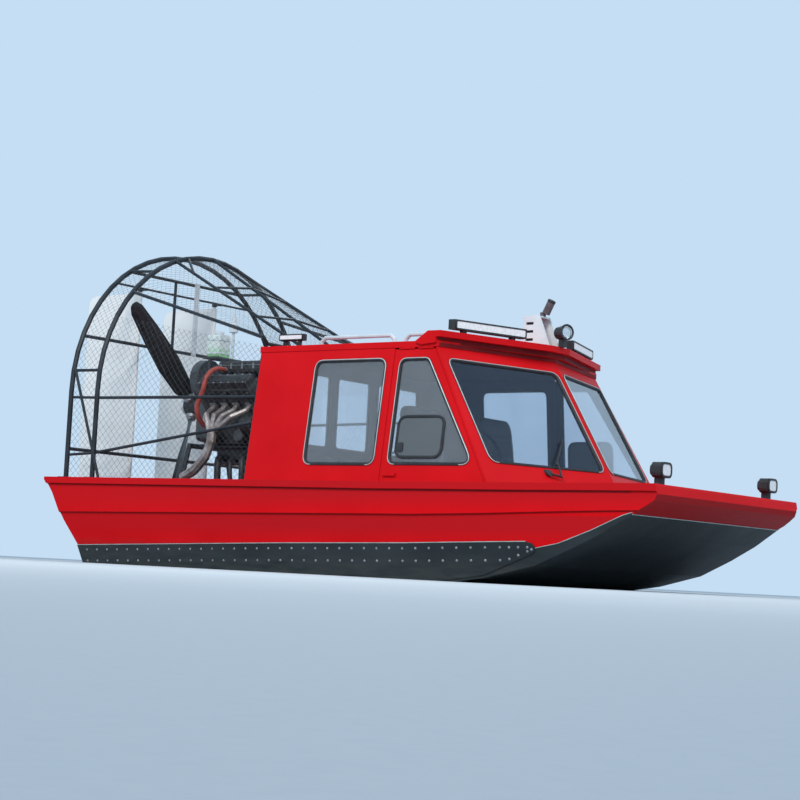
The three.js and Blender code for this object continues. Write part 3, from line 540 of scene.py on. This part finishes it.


# Windows: a rubber gasket that grips glass and panel, and a thin pale trim round it that paints a
# highlight on the gasket
HULLS, DOORS = ("hull", "hull"), ("door_s", "door_p")
SIDE_N, SHIELD_N, REAR_N = (0, -1, TUMBLEHOME), (1, -SHIELD_V, SHIELD_RAKE), (-1, 0, 0)
GASKET = [(1.5, 0.3), (1, 4), (-3, 6), (-9, 7), (-15, 5), (-20, -2), (-21, -6.5), (-0.5, -6.5),
          (-0.5, 0.3)]
INNER = [(8, -20.3), (8, -24), (0, -26), (-14, -24), (-18, -13.5), (-0.5, -13.5), (-0.5, -20.3)]
TRIM = [(0, 4.6), (-1, 7), (-4, 8.2), (-6, 6.8)]
SIDE_WINDOW = rounded_box(2291, 2889, 772, 1480, 70)
DOOR_WINDOW = rounded([(2992, 777), (2992, 1477), (3226, 1477), (3672, 777)], 62)
SHIELD_PANE = rounded([(-980, 803), (-945, 1473), (-30, 1473), (-30, 803)], 62)
for name, loop, normal, bodies in (("side", on_side(SIDE_WINDOW), SIDE_N, HULLS),
                                   ("door", on_side(DOOR_WINDOW), SIDE_N, DOORS),
                                   ("windshield", on_shield(SHIELD_PANE), SHIELD_N, HULLS)):
    Build().sweep(loop, normal, GASKET).both(f"{name}_gasket", rubber, bodies)
    Build().sweep(loop, normal, INNER).both(f"{name}_inner_gasket", rubber, bodies)
    # the pale trim, a painted highlight, runs up, over and down, and leaves the bottom run of rubber
    # bare, where the gasket lies in shade
    Build().sweep(loop, normal, TRIM, closed=False).both(f"{name}_trim", highlight_trim, bodies)
for side, y0, y1 in (("starboard", -740, -215), ("middle", -150, 250), ("port", 320, 840)):
    loop = [(CABIN_REAR, y, z) for y, z in rounded_box(y0, y1, 940, 1472, 50)]
    Build().sweep(loop, REAR_N, GASKET).make(f"rear_gasket_{side}", rubber)
    Build().sweep(loop, REAR_N, INNER).make(f"rear_inner_gasket_{side}", rubber)

# Sliding hatch in each door window: a ring that clamps on the pane, its own pane and a latch
HATCH_RING = [(0, -6.6), (0, 1), (-3, 3), (-15, 3), (-18, 1), (-18, -6.6)]
hatch = on_side(rounded_box(3038, 3413, 820, 1100, 72))
Build().sweep(hatch, SIDE_N, HATCH_RING).both("hatch_ring", rubber, DOORS)
plate_on_side(rounded_box(3055, 3396, 837, 1083, 56), 2.5, 6.2).both("hatch_pane", hatch_glass, DOORS)
plate_on_side(rounded_box(3064, 3104, 862, 922, 10), -5, 2.2).both("hatch_latch", plastic, DOORS)

# Painted weather strips fill the gaps round the doors
DOOR_FOOT, DOOR_HEAD, FRONT_GAP = 668, 1530, 23


def door_front_x(z):
    """The front edge of a door's opening at a height."""
    return shield_x(z) - SHIELD_V * side_y(z) - FRONT_GAP


for name, strip_x in (("rear", lambda z: SEAM_X), ("front", door_front_x)):
    strip = [[(strip_x(z) + dx, -side_y(z) + d, z) for dx, d in ((-2, 3), (2, 3), (2, 18), (-2, 18))]
             for z in spaced(DOOR_FOOT, DOOR_HEAD, 12)]
    Build().rings(strip).both(f"door_{name}_strip", cabin_red)

# The hull's lines, as tables of (x, height)
HALF_BEAM, BOW_HALF, BOW_X, TAPER_FROM = 1220, 957, 4898, 2900
BOTTOM_HALF, KNUCKLE_HALF, PANEL_HALF, BOTTOM_Z = 1112, 1190, 1204, -60
KNUCKLE = [(0, 398), (2500, 442), (3300, 453), (3800, 471), (4336, 499), (4750, 520)]
SHEER = [(0, 660), (3000, 662), (4000, 672), (BOW_X, 692)]
STRIP_TOP = [(323, 177), (2217, 248), (3240, 280), (4090, 318)]
SHEET_EDGE = [(4069, 263), (4301, 317), (4507, 404), (4694, 497), (4752, 516)]


def table_value(table, x):
    for (x0, v0), (x1, v1) in zip(table, table[1:]):
        if x <= x1:
            return v0 + (v1 - v0) * (max(x, x0) - x0) / (x1 - x0)
    return table[-1][1]


def narrowing(x):
    """Share of the full beam that the hull has at x."""
    t = max(0, (x - TAPER_FROM) / (BOW_X - 30 - TAPER_FROM))
    return 1 - (1 - BOW_HALF / HALF_BEAM) * t ** 2.2


def hull_y(x, z):
    """Half breadth of the hull's skin at a height below the gunwale band."""
    knuckle, w = table_value(KNUCKLE, x), narrowing(x)
    if z <= knuckle:
        share = (z - BOTTOM_Z) / (knuckle - BOTTOM_Z)
        return (BOTTOM_HALF + (KNUCKLE_HALF - BOTTOM_HALF) * share) * w
    return PANEL_HALF * w


def bead(table, steps, r, out, lift_by):
    """Round bead along a line of the hull's starboard side."""
    line = []
    for x in spaced(table[0][0], table[-1][0], steps):
        z = table_value(table, x)
        line.append((x, -hull_y(x, z) - out, z + lift_by))
    return Build().tube(line, r, 6)


# Hull trim: a dark line under the gunwale, a painted shadow, rivets along the black strips, pale bare
# edges
GUNWALE_H, RIVET_R, RIVET_H, STRIP_PROUD = 52, 9.5, 5, 7
# painted shadow: a thin dark red tube at the foot of the gunwale band, thicker toward the bow
line = [(x, -(PANEL_HALF - 0.5) * narrowing(x) - 1, table_value(SHEER, x) - GUNWALE_H)
        for x in range(60, 4860, 120)]
Build().tube(line, 1.2, 8, taper=4.6).both("sheer_shadow_line", maroon)


def strip_foot(x):
    """Lower edge of the strip's rising nose."""
    return 104 + (x - 3800) * 136 / 320


rivets, rivet_places = Build(), []
for x in [*range(420, 3921, 100), 3982, 4042, 4102]:
    top = table_value(STRIP_TOP, x)
    rivet_places += [(x, top - 34), (x, max(top - 112, strip_foot(x) + 27))]
for x, z in [*rivet_places, (4129, 272)]:
    rivets.dome((x, -hull_y(x, z) - STRIP_PROUD, z), (0, -1, -0.17), RIVET_R, RIVET_H)
rivets.both("strip_rivets", steel)
bead(STRIP_TOP, 40, 3.2, 4.5, 1.5).both("strip_edge_bead", edge_bead)
bead(SHEET_EDGE, 24, 2.6, 0.6, 0).both("sheet_edge_bead", edge_bead)
FRONT_BEAD_X, FRONT_BEAD_Z = 4753, 504
front_half = hull_y(FRONT_BEAD_X - 1, FRONT_BEAD_Z)
line = [(FRONT_BEAD_X, y, FRONT_BEAD_Z) for y in spaced(-front_half, front_half, 16)]
Build().tube(line, 2.8, 6).make("sheet_front_bead", edge_bead)


# Shadowed faces under the brow's lip and under the roof's edge
def shadow_strip(name, line, low, high):
    """Thin dark face just ahead of a line of (x, y)."""
    rings = [[(x + d, y, z) for d, z in ((0.4, low), (1.6, low), (1.6, high), (0.4, high))]
             for x, y in line]
    Build().rings(rings).make(name, maroon, smooth=False)


SOFFIT_Z, HEADER_HALF = 1574, 966
brow_line = [(BROW_X - BROW_V * max(abs(y), BROW_NOSE) - LIP_REACH, y)
             for y in (-BROW_HALF + 14, -BROW_NOSE, BROW_NOSE, BROW_HALF - 14)]
shadow_strip("brow_shadow_strip", brow_line, SOFFIT_Z, LIP_Z - 0.6)
header = [(shield_x(ROOF_Z) + 4 - SHIELD_V * abs(y), y) for y in (-HEADER_HALF, 0, HEADER_HALF)]
shadow_strip("roof_shadow_strip", header, ROOF_Z + 1, SOFFIT_Z - 3)

# Cage netting
NET_STEP, WIRE_R, NET_IN, NET_SAMPLES = 36, 0.85, 15, 60


def netting(edge_a, edge_b, cut):
    """Two crossing families of wires on the surface between two edges, which are functions of
    a share from 0 to 1; cut is the length of a wire's straight pieces."""
    n = NET_SAMPLES
    length = sum((edge((i + 1) / n) - edge(i / n)).length
                 for i in range(n) for edge in (edge_a, edge_b)) / 2
    width = sum((edge_a(i / n) - edge_b(i / n)).length for i in range(n + 1)) / (n + 1)
    out, pitch = Build(), NET_STEP * sqrt(2)
    for sign, s, end in ((1, pitch / 2 - width, length), (-1, pitch / 2, length + width)):
        while s < end:
            # this wire starts at s on edge a and ends at s + sign * width on edge b
            low, high = (-s, length - s) if sign > 0 else (s - length, s)
            t0, t1 = max(0, low), min(width, high)
            if t1 - t0 > NET_STEP / 2:
                path = []
                for t in spaced(t0, t1, max(1, int((t1 - t0) / cut))):
                    share = min(1, max(0, (s + sign * t) / length))
                    path.append(edge_a(share).lerp(edge_b(share), t / width))
                out.tube(path, WIRE_R, 4)
            s += pitch
    return out


def hoop(x, r):
    """A hoop's run from its starboard foot over the top to port."""
    leg, arc = HUB_Z - HOOP_FOOT, pi * r

    def where(share):
        s = share * (2 * leg + arc)
        if s < leg:
            return Vector((x, -r, HOOP_FOOT + s))
        if s > leg + arc:
            return Vector((x, r, HUB_Z - (s - leg - arc)))
        a = pi - (s - leg) / r
        return Vector((x, r * cos(a), HUB_Z + r * sin(a)))
    return where


def hood_top(share):
    y = (2 * share - 1) * HOOD_TOP_HALF
    return Vector((MID_HOOP_X + 6, y, HUB_Z - NET_IN + sqrt(MID_HOOP_R ** 2 - y * y)))


def hood_foot(share):
    y = (2 * share - 1) * HOOD_HALF
    rise = HOOD_RISE * max(0, (abs(y) - HOOD_FLAT) / (HOOD_HALF - HOOD_FLAT))
    return Vector((HOOD_X, y, HOOD_Z - NET_IN + rise))


def guard_post(share):
    """Up the guard's post at the cabin."""
    foot = Vector((GUARD_X, -GUARD_FOOT_HALF + NET_IN, GUARD_FOOT))
    return foot.lerp(Vector((GUARD_X, -GUARD_TOP_HALF + NET_IN, GUARD_TOP)), share)


def guard_leg(share):
    """Up the middle hoop's leg and 600 mm on along its arc."""
    run, r = HUB_Z - GUARD_FOOT, MID_HOOP_R - NET_IN
    s = share * (run + 600)
    if s < run:
        return Vector((MID_HOOP_X, -r, GUARD_FOOT + s))
    a = (s - run) / MID_HOOP_R
    return Vector((MID_HOOP_X, -r * cos(a), HUB_Z + r * sin(a)))


rear_ring, mid_ring = hoop(REAR_HOOP_X, REAR_HOOP_R - NET_IN), hoop(MID_HOOP_X, MID_HOOP_R - NET_IN)
netting(rear_ring, mid_ring, 90).make("ring_netting", wire, smooth=False)
netting(hood_top, hood_foot, 150).make("hood_netting", wire, smooth=False)
netting(guard_leg, guard_post, 300).both("guard_netting", wire, smooth=False)

# Links that carry the side rows back to the rear hoop
links, LINK_R, LINK_IN = Build(), 10, 21
for z_rear, z_mid in ((1243, 1239), (826, 839)):
    links.tube([(REAR_HOOP_X + LINK_IN, 1 - REAR_HOOP_R, z_rear),
                (MID_HOOP_X - LINK_IN, 1 - MID_HOOP_R, z_mid)], LINK_R, 10)
links.both("cage_row_links", frame_paint)

# Light bars on the brow's slanted front: white face and frame
bar_n = Vector((1, -BROW_V, 0)).normalized()
bar_loop = [Vector((BROW_X + BROW_V * y - 30.8, y, z))
            for y, z in rounded_box(-838, -302, VISOR_TOP + 32, VISOR_TOP + 78, 8, 4)]
Build().rings([[p + bar_n * d for p in bar_loop] for d in (-1, 2.5)]).both("light_bar_face", led)
Build().sweep(bar_loop, bar_n, [(-1, 0), (-1, 5), (9, 5), (9, -3), (0, -3)]).both(
    "light_bar_rim", plastic)

# Searchlight: rim, reflector and lens
LAMP_TURN = radians(24)
lamp_aim = Vector((cos(LAMP_TURN), -sin(LAMP_TURN), 0))
lamp_face = Vector((3606, -6, 1746)) + lamp_aim * 42
for name, look_of, rows in (
        ("rim", plastic, [(-4, 52), (10, 55), (14, 53), (14, 46), (4, 44), (0, 40)]),
        ("reflector", reflector, [(-2, 8), (0.5, 30), (3, 43), (3.5, 44), (0.2, 44)]),
        ("lens", clear, [(5, 45), (8, 44), (11, 30), (12, 10)])):
    Build().lathe(lamp_face, lamp_aim, rows, 32).make(f"searchlight_{name}", look_of)

# Bow lamps and the side lamp: face and rim
BOW_LAMP_X, SIDE_LAMP_Y = 4827, -821
lamp = rounded_box(-762, -660, 752, 819, 24, 4)
Build().rings([[(BOW_LAMP_X + d, y, z) for y, z in lamp] for d in (-0.6, 2)]).both("bow_lamp_lens", led)
Build().sweep([(BOW_LAMP_X, y, z) for y, z in lamp], (1, 0, 0),
              [(0, -0.5), (0, 6), (14, 5), (14, -0.5)]).both("bow_lamp_rim", plastic)
lamp = rounded_box(1828, 2022, 1652, 1680, 6, 3)
Build().rings([[(x, SIDE_LAMP_Y + d, z) for x, z in lamp] for d in (0.6, -2)]).make(
    "side_lamp_face", led)
Build().sweep([(x, SIDE_LAMP_Y, z) for x, z in lamp], (0, -1, 0),
              [(0, -0.7), (0, 4), (6, 4), (6, -0.7)]).make("side_lamp_rim", plastic)

# Dark plate inside the lamp bracket, a painted shadow that darkens its slots, and the camera's window
Build().box(3345, 3435, -50, -46, 1668, 1840).make("bracket_shadow_plate", plastic, smooth=False)
cam_tail, cam_front = Vector((3462, 0, 1880)), Vector((3506, 0, 1966))
Build().lathe(cam_front, cam_front - cam_tail, [(-10, 28.2), (2, 28.2), (5, 24), (3, 20)], 20).make(
    "camera_window", plastic)

# Propeller: pale spinner over the hub's tail, and a clamp at each blade's root
SPINNER = [(-6, 73), (4, 74), (28, 61), (58, 36), (66, 14)]
CLAMP = [(0, 40), (10, 44), (24, 44), (34, 36), (46, 33)]
Build().lathe((PROP_X - 50, 0, HUB_Z), (-1, 0, 0), SPINNER, 32).make(
    "spinner", spinner_white, "propeller")
clamps = Build()
for angle in (-46, 74, 194):
    a = radians(angle)
    along = Vector((0, sin(a), cos(a)))
    clamps.lathe(Vector((PROP_X + 4, 0, HUB_Z)) + along * 66, along, CLAMP, 20)
clamps.make("blade_clamps", cast, "propeller")

# Cylinder banks: ribbed covers, bolts, header flanges and coils
CRANK_Z, LEAN = 1160, radians(42)
COVER_HALF, COVER_TOP, HEAD_HALF = 61, 405.3, 75.4


def on_bank(side):
    """Place on a cylinder bank: along the crank, across the bank and up it (side 1 is starboard)."""
    c, s = cos(side * LEAN), sin(side * LEAN)
    return lambda x, w, h: Vector((x, w * c - h * s, CRANK_Z + w * s + h * c))


def brick(out, place, x0, x1, w0, w1, h0, h1):
    corners = ((w0, h0), (w1, h0), (w1, h1), (w0, h1))
    return out.rings([[place(x, w, h) for w, h in corners] for x in (x0, x1)])


ribs, bolts, flanges, coils = Build(), Build(), Build(), Build()
for side in (1, -1):
    place = on_bank(side)
    up_bank = place(0, 0, 1) - place(0, 0, 0)
    outward = place(0, -side, 0) - place(0, 0, 0)
    for w in (-30, -15, 0, 15, 30):
        brick(ribs, place, 625, 1055, w - 3, w + 3, COVER_TOP, 410)
    brick(ribs, place, 594, 1086, -COVER_HALF, COVER_HALF, 338, 347)
    for x in range(620, 1080, 72):
        for w in (-49, 49):
            bolts.dome(place(x, w, 406), up_bank, 7, 5, 6)
    for x in (690, 800, 915, 1040):
        brick(flanges, place, x - 33, x + 33, -side * HEAD_HALF, -side * 84, 180, 240)
        for dx, h in ((-25, 230), (25, 190)):
            bolts.dome(place(x + dx, -side * 85, h), outward, 6, 5, 6)
    for x in (745, 858, 978, 1085):
        brick(coils, place, x - 16, x + 16, -side * 76, -side * 104, 292, 336)
        lead = [place(x + dx, -side * w, h) for dx, w, h in ((0, 96, 292), (-4, 104, 262), (-8, 90, 244))]
        coils.tube(lead, 6, 6)
ribs.make("valve_cover_ribs", dark_cast)
bolts.make("engine_bolts", steel)
flanges.make("header_flanges", cast)
coils.make("ignition_coils", plastic)

# Fuel rails and their injectors
RAIL_Y, RAIL_Z = 148, 1440
fuel = Build()
for side in (-1, 1):
    fuel.tube([(650, side * RAIL_Y, RAIL_Z), (1060, side * RAIL_Y, RAIL_Z)], 9, 8)
    for x in (700, 805, 910, 1015):
        fuel.tube([(x, side * RAIL_Y, RAIL_Z), (x, side * 126, 1404)], 7, 6)
fuel.make("fuel_rails", cast)

# Accessory belt and its pulleys, given as (y, z, radius)
PULLEYS = ((0, 1150, 85), (-150, 1290, 58), (150, 1290, 58), (-235, 1120, 40))
BELT_X, PULLEY_X = 1147, 1164.3


def turns_left(o, a, b):
    return (a[0] - o[0]) * (b[1] - o[1]) - (a[1] - o[1]) * (b[0] - o[0]) > 0


def loop_round(circles, steps=24):
    """Outline of the shortest loop round circles."""
    points = sorted({(round(y + r * cos(a), 3), round(z + r * sin(a), 3))
                     for y, z, r in circles for a in ring_angles(steps)})
    halves = []
    for run in (points, points[::-1]):
        half = []
        for p in run:
            while len(half) > 1 and not turns_left(half[-2], half[-1], p):
                half.pop()
            half.append(p)
        halves += half[:-1]
    return halves


belt = [(BELT_X, y, z) for y, z in loop_round([(y, z, r + 1) for y, z, r in PULLEYS])]
Build().sweep(belt, (1, 0, 0), [(0.5, -11), (0.5, 11), (6, 11), (6, -11)]).make(
    "accessory_belt", belt_black)
faces = Build()
for y, z, r in PULLEYS:
    rows = [(0, r * 0.92), (3, r * 0.9), (3, r * 0.55), (1, r * 0.5), (1, r * 0.25), (10, r * 0.22),
            (13, r * 0.1)]
    faces.lathe((PULLEY_X, y, z), (1, 0, 0), rows, 20)
faces.make("pulley_faces", cast)

# Reduction drive: ring of bolts, shaft cover and the bolts of its case
DRIVE_Z, BOLT_RING_R = 1490, 128
drive = Build()
for a in ring_angles(10):
    place = (371.5, BOLT_RING_R * cos(a), DRIVE_Z + BOLT_RING_R * sin(a))
    drive.dome(place, (-1, 0, 0), 8, 6, 6)
drive.lathe((371.7, 0, DRIVE_Z), (-1, 0, 0), [(0, 60), (6, 58), (8, 30), (14, 26), (15, 8)], 24)
for y in (-95, 95):
    for z in (1060, 1180, 1300, 1420):
        drive.dome((439.6, y, z), (-1, 0, 0), 8, 6, 6)
drive.make("drive_bolts", steel)

# Air box: clips along its sides and a bead round its lid
air = Build()
for x in (665, 770, 880, 990, 1070):
    for side in (-1, 1):
        y = side * (INTAKE_SIDE - 0.1)
        air.box(x - 8, x + 8, y - 2, y + 2, 1552, 1592)
air.sweep([(x, y, 1578) for x, y in rounded_box(642, 1093, -133, 133, 12, 3)],
          (0, 0, 1), [(0, -2), (0, 2), (2.5, 2), (2.5, -2)])
air.make("air_box_clips", cast)

# Oil filter, starter and relay box on the starboard side of the block
oil_filter = Build().lathe((980, -BLOCK_SIDE, 1040), (0, -1, 0),
                           [(0, 46), (8, 48), (88, 48), (98, 40), (100, 20)], 24)
oil_filter.make("oil_filter", dark_cast)
starter = Build()
starter.lathe((600, -196, 1030), (1, 0, 0), [(0, 20), (4, 38), (150, 38), (158, 26), (172, 12)], 24)
starter.lathe((612, -190, 1084), (1, 0, 0), [(0, 22), (86, 22), (92, 12)], 16)
starter.box(600, 640, -170, -BLOCK_SIDE, 1000, 1090)
starter.make("starter_motor", engine_black)
Build().box(566, 604, -190, -BLOCK_SIDE, 1140, 1196, 6).make("relay_box", cream, smooth=False)

# Moulded coolant and oil pipes from the sump's sides down to the floor
FLOOR_TOP, SUMP_HALF = 135.4, 85.4
pipes = Build()
for x, r, out, z in ((735, 26, 208, 884), (852, 16, 198, 868), (980, 24, 214, 892)):
    foot = (x + 38, -out - 6, FLOOR_TOP)
    pipes.tube([(x, -SUMP_HALF, z), (x, -out * 0.72, z), (x + 12, -out * 0.9, z - 14),
                (x + 26, -out, z - 52), (x + 34, -out - 4, z - 120), (x + 38, -out - 6, z - 260),
                foot], r, 12)
    pipes.lathe((x, -SUMP_HALF, z), (0, -1, 0), [(0, r + 9), (7, r + 9), (7, r + 1)], 16)
    pipes.lathe(foot, (0, 0, 1), [(0, r + 12), (8, r + 12), (8, r + 1)], 16)
pipes.both("coolant_pipes", plastic)

# Coolant tank: cap and straps
Build().lathe((540, -26, 1826.4), (0, 0, 1), [(0, 30), (5, 30), (8, 36), (24, 36), (28, 30)], 20).make(
    "tank_cap", white_plastic)
straps = Build()
for z in (1684, 1786):
    straps.sweep([(x, y, z) for x, y in rounded_box(479, 601, -89, 37, 12, 4)],
                 (0, 0, 1), [(0.3, -6), (0.3, 6), (2, 6), (2, -6)])
straps.make("tank_straps", white_plastic)

# Coolant hose: from the intake's side, over the starboard cover and down to the block
HOSE_R, BEND, HOSE_X, HOSE_TOP, HOSE_LOW = 18.5, 150, 722, 1545, 1106
hose_path = [(HOSE_X, -INTAKE_SIDE - 0.1 - 14 * i, HOSE_TOP) for i in range(5)]
start_y = hose_path[-1][1] - 14
for i in range(10):
    a = pi / 2 * i / 9
    hose_path.append((HOSE_X - 12 * i / 9, start_y - BEND * sin(a),
                      HOSE_TOP - BEND * (1 - cos(a))))
drop = HOSE_TOP - BEND - (HOSE_LOW + BEND)
for i in range(1, 6):
    hose_path.append((HOSE_X - 12 - 58 * (i / 5) ** 1.2, start_y - BEND, HOSE_TOP - BEND - drop * i / 5))
for i in range(1, 10):
    a = pi / 2 * i / 9
    hose_path.append((HOSE_X - 70 - 4 * i / 9, start_y - BEND * cos(a),
                      HOSE_LOW + BEND - BEND * sin(a)))
reach = -BLOCK_SIDE - 0.1 - start_y
hose_path += [(HOSE_X - 74, start_y + reach * i / 4, HOSE_LOW) for i in range(1, 5)]
hose = Build().tube(hose_path, HOSE_R, 16).make("coolant_hose", silicone)
CLIP = [(-6, HOSE_R + 0.4), (-6, HOSE_R + 2), (6, HOSE_R + 2), (6, HOSE_R + 0.4)]
clips = Build()
for i in (1, -2):
    clips.lathe(hose_path[i], Vector(hose_path[i]) - Vector(hose_path[i - 1]), CLIP, 20)
clips.make("hose_clips", steel)

# Seats: crowned pads, swelled by a cloth run and sewn in channels
PAD_ROWS, SQUARENESS = 14, 7
VOXEL, SWELL_CAP, FRAMES = 0.013, 0.012, 20
SEAM_DEPTH, SEAM_WIDTH, PIPING_R = 0.007, 0.012, 3.6


def pad_mesh(name, corners, lean):
    """Crowned pad inside a box given by two corners, leaning back by lean per unit of height."""
    low, high = Vector(corners[0]), Vector(corners[1])
    centre, half = (low + high) / 2, (high - low) / 2
    out, index = Build(), {}

    def vert(c):
        key = tuple(round(v, 5) for v in c)
        if key not in index:
            index[key] = len(out.verts)
            d = sum(abs(v) ** SQUARENESS for v in c) ** (1 / SQUARENESS)
            p = centre + Vector([h * v / d for h, v in zip(half, c)])
            out.verts.append((p.x - lean * (p.z - low.z), p.y, p.z))
        return index[key]

    ticks = spaced(-1, 1, PAD_ROWS)
    for axis in range(3):
        for s in (-1, 1):
            for i in range(PAD_ROWS):
                for j in range(PAD_ROWS):
                    quad = []
                    for a, b in ((0, 0), (1, 0), (1, 1), (0, 1)):
                        c = [0, 0, 0]
                        c[axis], c[(axis + 1) % 3], c[(axis + 2) % 3] = s, ticks[i + a], ticks[j + b]
                        quad.append(vert(c))
                    out.faces.append(tuple(quad if s > 0 else reversed(quad)))
    return out.make(name, vinyl, None)


def settle(o, modifier):
    """Applies what is on the object, as evaluated now, to its mesh."""
    graph = bpy.context.evaluated_depsgraph_get()
    mesh = bpy.data.meshes.new_from_object(o.evaluated_get(graph))
    o.modifiers.remove(modifier)
    o.data = mesh


def swell(pads):
    """Voxel remesh, then cloth pressure on all pads at once, with a cap on how far points move."""
    for o in pads:
        remesh = o.modifiers.new("remesh", "REMESH")
        remesh.mode, remesh.voxel_size = "VOXEL", VOXEL
        settle(o, remesh)
    start = {o.name: [v.co.copy() for v in o.data.vertices] for o in pads}
    cloths = {}
    for o in pads:
        cloth = o.modifiers.new("cloth", "CLOTH")
        cloth.settings.use_pressure = True
        cloth.settings.uniform_pressure_force = 4
        cloth.settings.effector_weights.gravity = 0
        cloth.point_cache.frame_start, cloth.point_cache.frame_end = 1, FRAMES
        cloths[o.name] = cloth
    for f in range(1, FRAMES + 1):
        scene.frame_set(f)
    for o in pads:
        settle(o, cloths[o.name])
        for v, rest in zip(o.data.vertices, start[o.name]):
            move = v.co - rest
            if move.length > SWELL_CAP:
                v.co = rest + move * (SWELL_CAP / move.length)
    scene.frame_set(1)


def sew(o, axis, shares, face):
    """Draws the pad's front in along sewn lines, which lie at shares of its size along an axis;
    the front looks along the positive face axis."""
    across = [v.co[axis] for v in o.data.vertices]
    low, high = min(across), max(across)
    seams = [low + (high - low) * share for share in shares]
    for v in o.data.vertices:
        if v.normal[face] > 0.35:
            near = min(abs(v.co[axis] - place) for place in seams)
            v.co[face] -= SEAM_DEPTH * exp(-(near / SEAM_WIDTH) ** 2)


def piping(name, o, points):
    """Sewn cord on a pad's surface, near a closed line of points."""
    tree = BVHTree.FromPolygons([v.co for v in o.data.vertices], [p.vertices for p in o.data.polygons])
    path = []
    for p in points:
        where, normal, _, _ = tree.find_nearest(at(*p))
        where = (where + normal * 0.0015) * 1000
        path.append((where.x + ORIGIN_X, where.y, where.z))
    Build().tube(path, PIPING_R, 6, closed=True).make(name, rubber)


def piping_line(name, corners, lean):
    """Closed line near a pad's front edge, with points 24 mm apart."""
    (x0, y0, z0), (x1, y1, z1) = corners
    if "back" in name:
        line = [Vector((x1 - lean * (z - z0) - 6, y, z))
                for y, z in rounded_box(y0 + 8, y1 - 8, z0 + 8, z1 - 8, 50, 6)]
    else:
        line = [Vector((x, y, z1 - 6))
                for x, y in rounded_box(x0 + 8, x1 - 8, y0 + 8, y1 - 8, 50, 6)]
    dense = []
    for a, b in zip(line, line[1:] + line[:1]):
        steps = max(1, int((b - a).length / 24))
        dense += [a.lerp(b, i / steps) for i in range(steps)]
    return dense


FRONT_SEATS = (("driver_seat", -430), ("passenger_seat", 430))
SEATS = []  # name, the solid it replaces, its box's corners and its lean
for seat, y in FRONT_SEATS:
    SEATS.append((f"{seat}_cushion", seat, ((2828, y - 222, 528), (3252, y + 222, 634)), 0))
    SEATS.append((f"{seat}_back", seat, ((2818, y - 217, 648), (2892, y + 217, 1222)), 0.16))
for i, y in enumerate((-547, 0, 547), 1):
    cushion = (1972, y - 266, 448), (2392, y + 266, 554)
    back = (1878, y - 266, 562), (1958, y + 266, 897)
    SEATS.append((f"bench_cushion_{i}", "rear_bench", cushion, 0))
    SEATS.append((f"bench_back_{i}", "rear_bench", back, 0))
pads, backs = [], []
for name, _, corners, lean in SEATS:
    (backs if "back" in name else pads).append(pad_mesh(name, corners, lean))
swell(pads + backs)
for o in pads:
    sew(o, 0, (0.26, 0.5, 0.74), 2)
for o in backs:
    sew(o, 2, (0.28, 0.52, 0.76), 0)
for name, solid, _, _ in SEATS:
    o = bpy.data.objects[name]
    sub = o.modifiers.new("smooth", "SUBSURF")
    sub.levels = sub.render_levels = 1
    settle(o, sub)
    o.data.materials.clear()
    o.data.materials.append(vinyl)
    o.data.shade_smooth()
    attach(o, "hull")
    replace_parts(o, solid)
for name, _, corners, lean in SEATS:
    piping(f"{name}_piping", bpy.data.objects[name], piping_line(name, corners, lean))

# Seat stands and the bench's locker
for seat, y in FRONT_SEATS:
    stand = Build().box(2880, 3180, y - 150, y + 150, 136, 170, 14)
    stand.box(2930, 3130, y - 95, y + 95, 170, 500, 30)
    stand.box(2850, 3230, y - 200, y + 200, 500, 524, 22)
    for side in (-1, 1):
        stand.tube([(2834, y + side * 205, 512), (2806, y + side * 205, 560),
                    (2780, y + side * 200, 760)], 11, 8)
    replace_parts(stand.make(f"{seat}_base", plastic), seat)
locker = Build().box(1900, 2360, -800, 800, 136, 440, 12)
for y in (-530, 0, 530):
    locker.box(2360, 2364, y - 230, y + 230, 180, 400, 1.5)
    locker.box(2364, 2372, y - 40, y + 40, 370, 384, 2)
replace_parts(locker.make("bench_locker", tub_grey, smooth=False), "rear_bench")

# Dashboard: screen, gauges and switches on the driver's side
DASH_TOP = 800.4
dash = Build()
for y, r in ((-560, 42), (-455, 42), (-350, 30)):
    dash.lathe((3452, y, DASH_TOP), (0, 0, 1), [(0, r + 5), (6, r + 5), (6, r), (3, r - 2)], 20)
dash.box(3420, 3520, -250, -60, DASH_TOP, 812, 6)
for y in range(-580, -304, 46):
    dash.box(3400, 3424, y, y + 28, DASH_TOP, 808, 3)
dash.make("dash_gauges", cast)
Build().box(3428, 3512, -242, -68, 812.2, 813.6).make("dash_screen", belt_black, smooth=False)

bpy.context.view_layer.update()

# Studio: a round floor at the waterline, plain sky and soft lights
FLOOR_R = 60
floor_mesh = bpy.data.meshes.new("studio_floor")
floor_mesh.from_pydata([(FLOOR_R * cos(a), FLOOR_R * sin(a), WATERLINE / 1000)
                        for a in ring_angles(64)], [], [tuple(range(64))])
floor_mesh.materials.append(material("studio_floor", (0.43, 0.47, 0.50), (0.46, 0.50, 0.53), 0.8,
                                     patch=0.3))
floor = add("studio_floor", floor_mesh)

world = bpy.data.worlds.new("studio")
scene.world = world
world.use_nodes = True
sky = world.node_tree.nodes["Background"]
sky.inputs["Color"].default_value = (0.56, 0.73, 0.90, 1)
sky.inputs["Strength"].default_value = 1


def area_light(name, place, target, size, power, colour):
    data = bpy.data.lights.new(name, "AREA")
    data.shape, data.size, data.energy, data.color = "DISK", size, power, colour
    o = add(name, data)
    o.location = place
    o.rotation_mode = "QUATERNION"
    o.rotation_quaternion = (Vector(target) - Vector(place)).to_track_quat("-Z", "Y")


area_light("key", (3, -9, 9), (0, 0, 1), 4, 900, (1, 0.97, 0.93))
area_light("front", (9, 0.5, 8), (1.5, 0, 1), 5, 170, (1, 0.98, 0.95))
area_light("back", (-6, 8, 7), (0, 0, 1), 5, 140, (0.92, 0.96, 1))
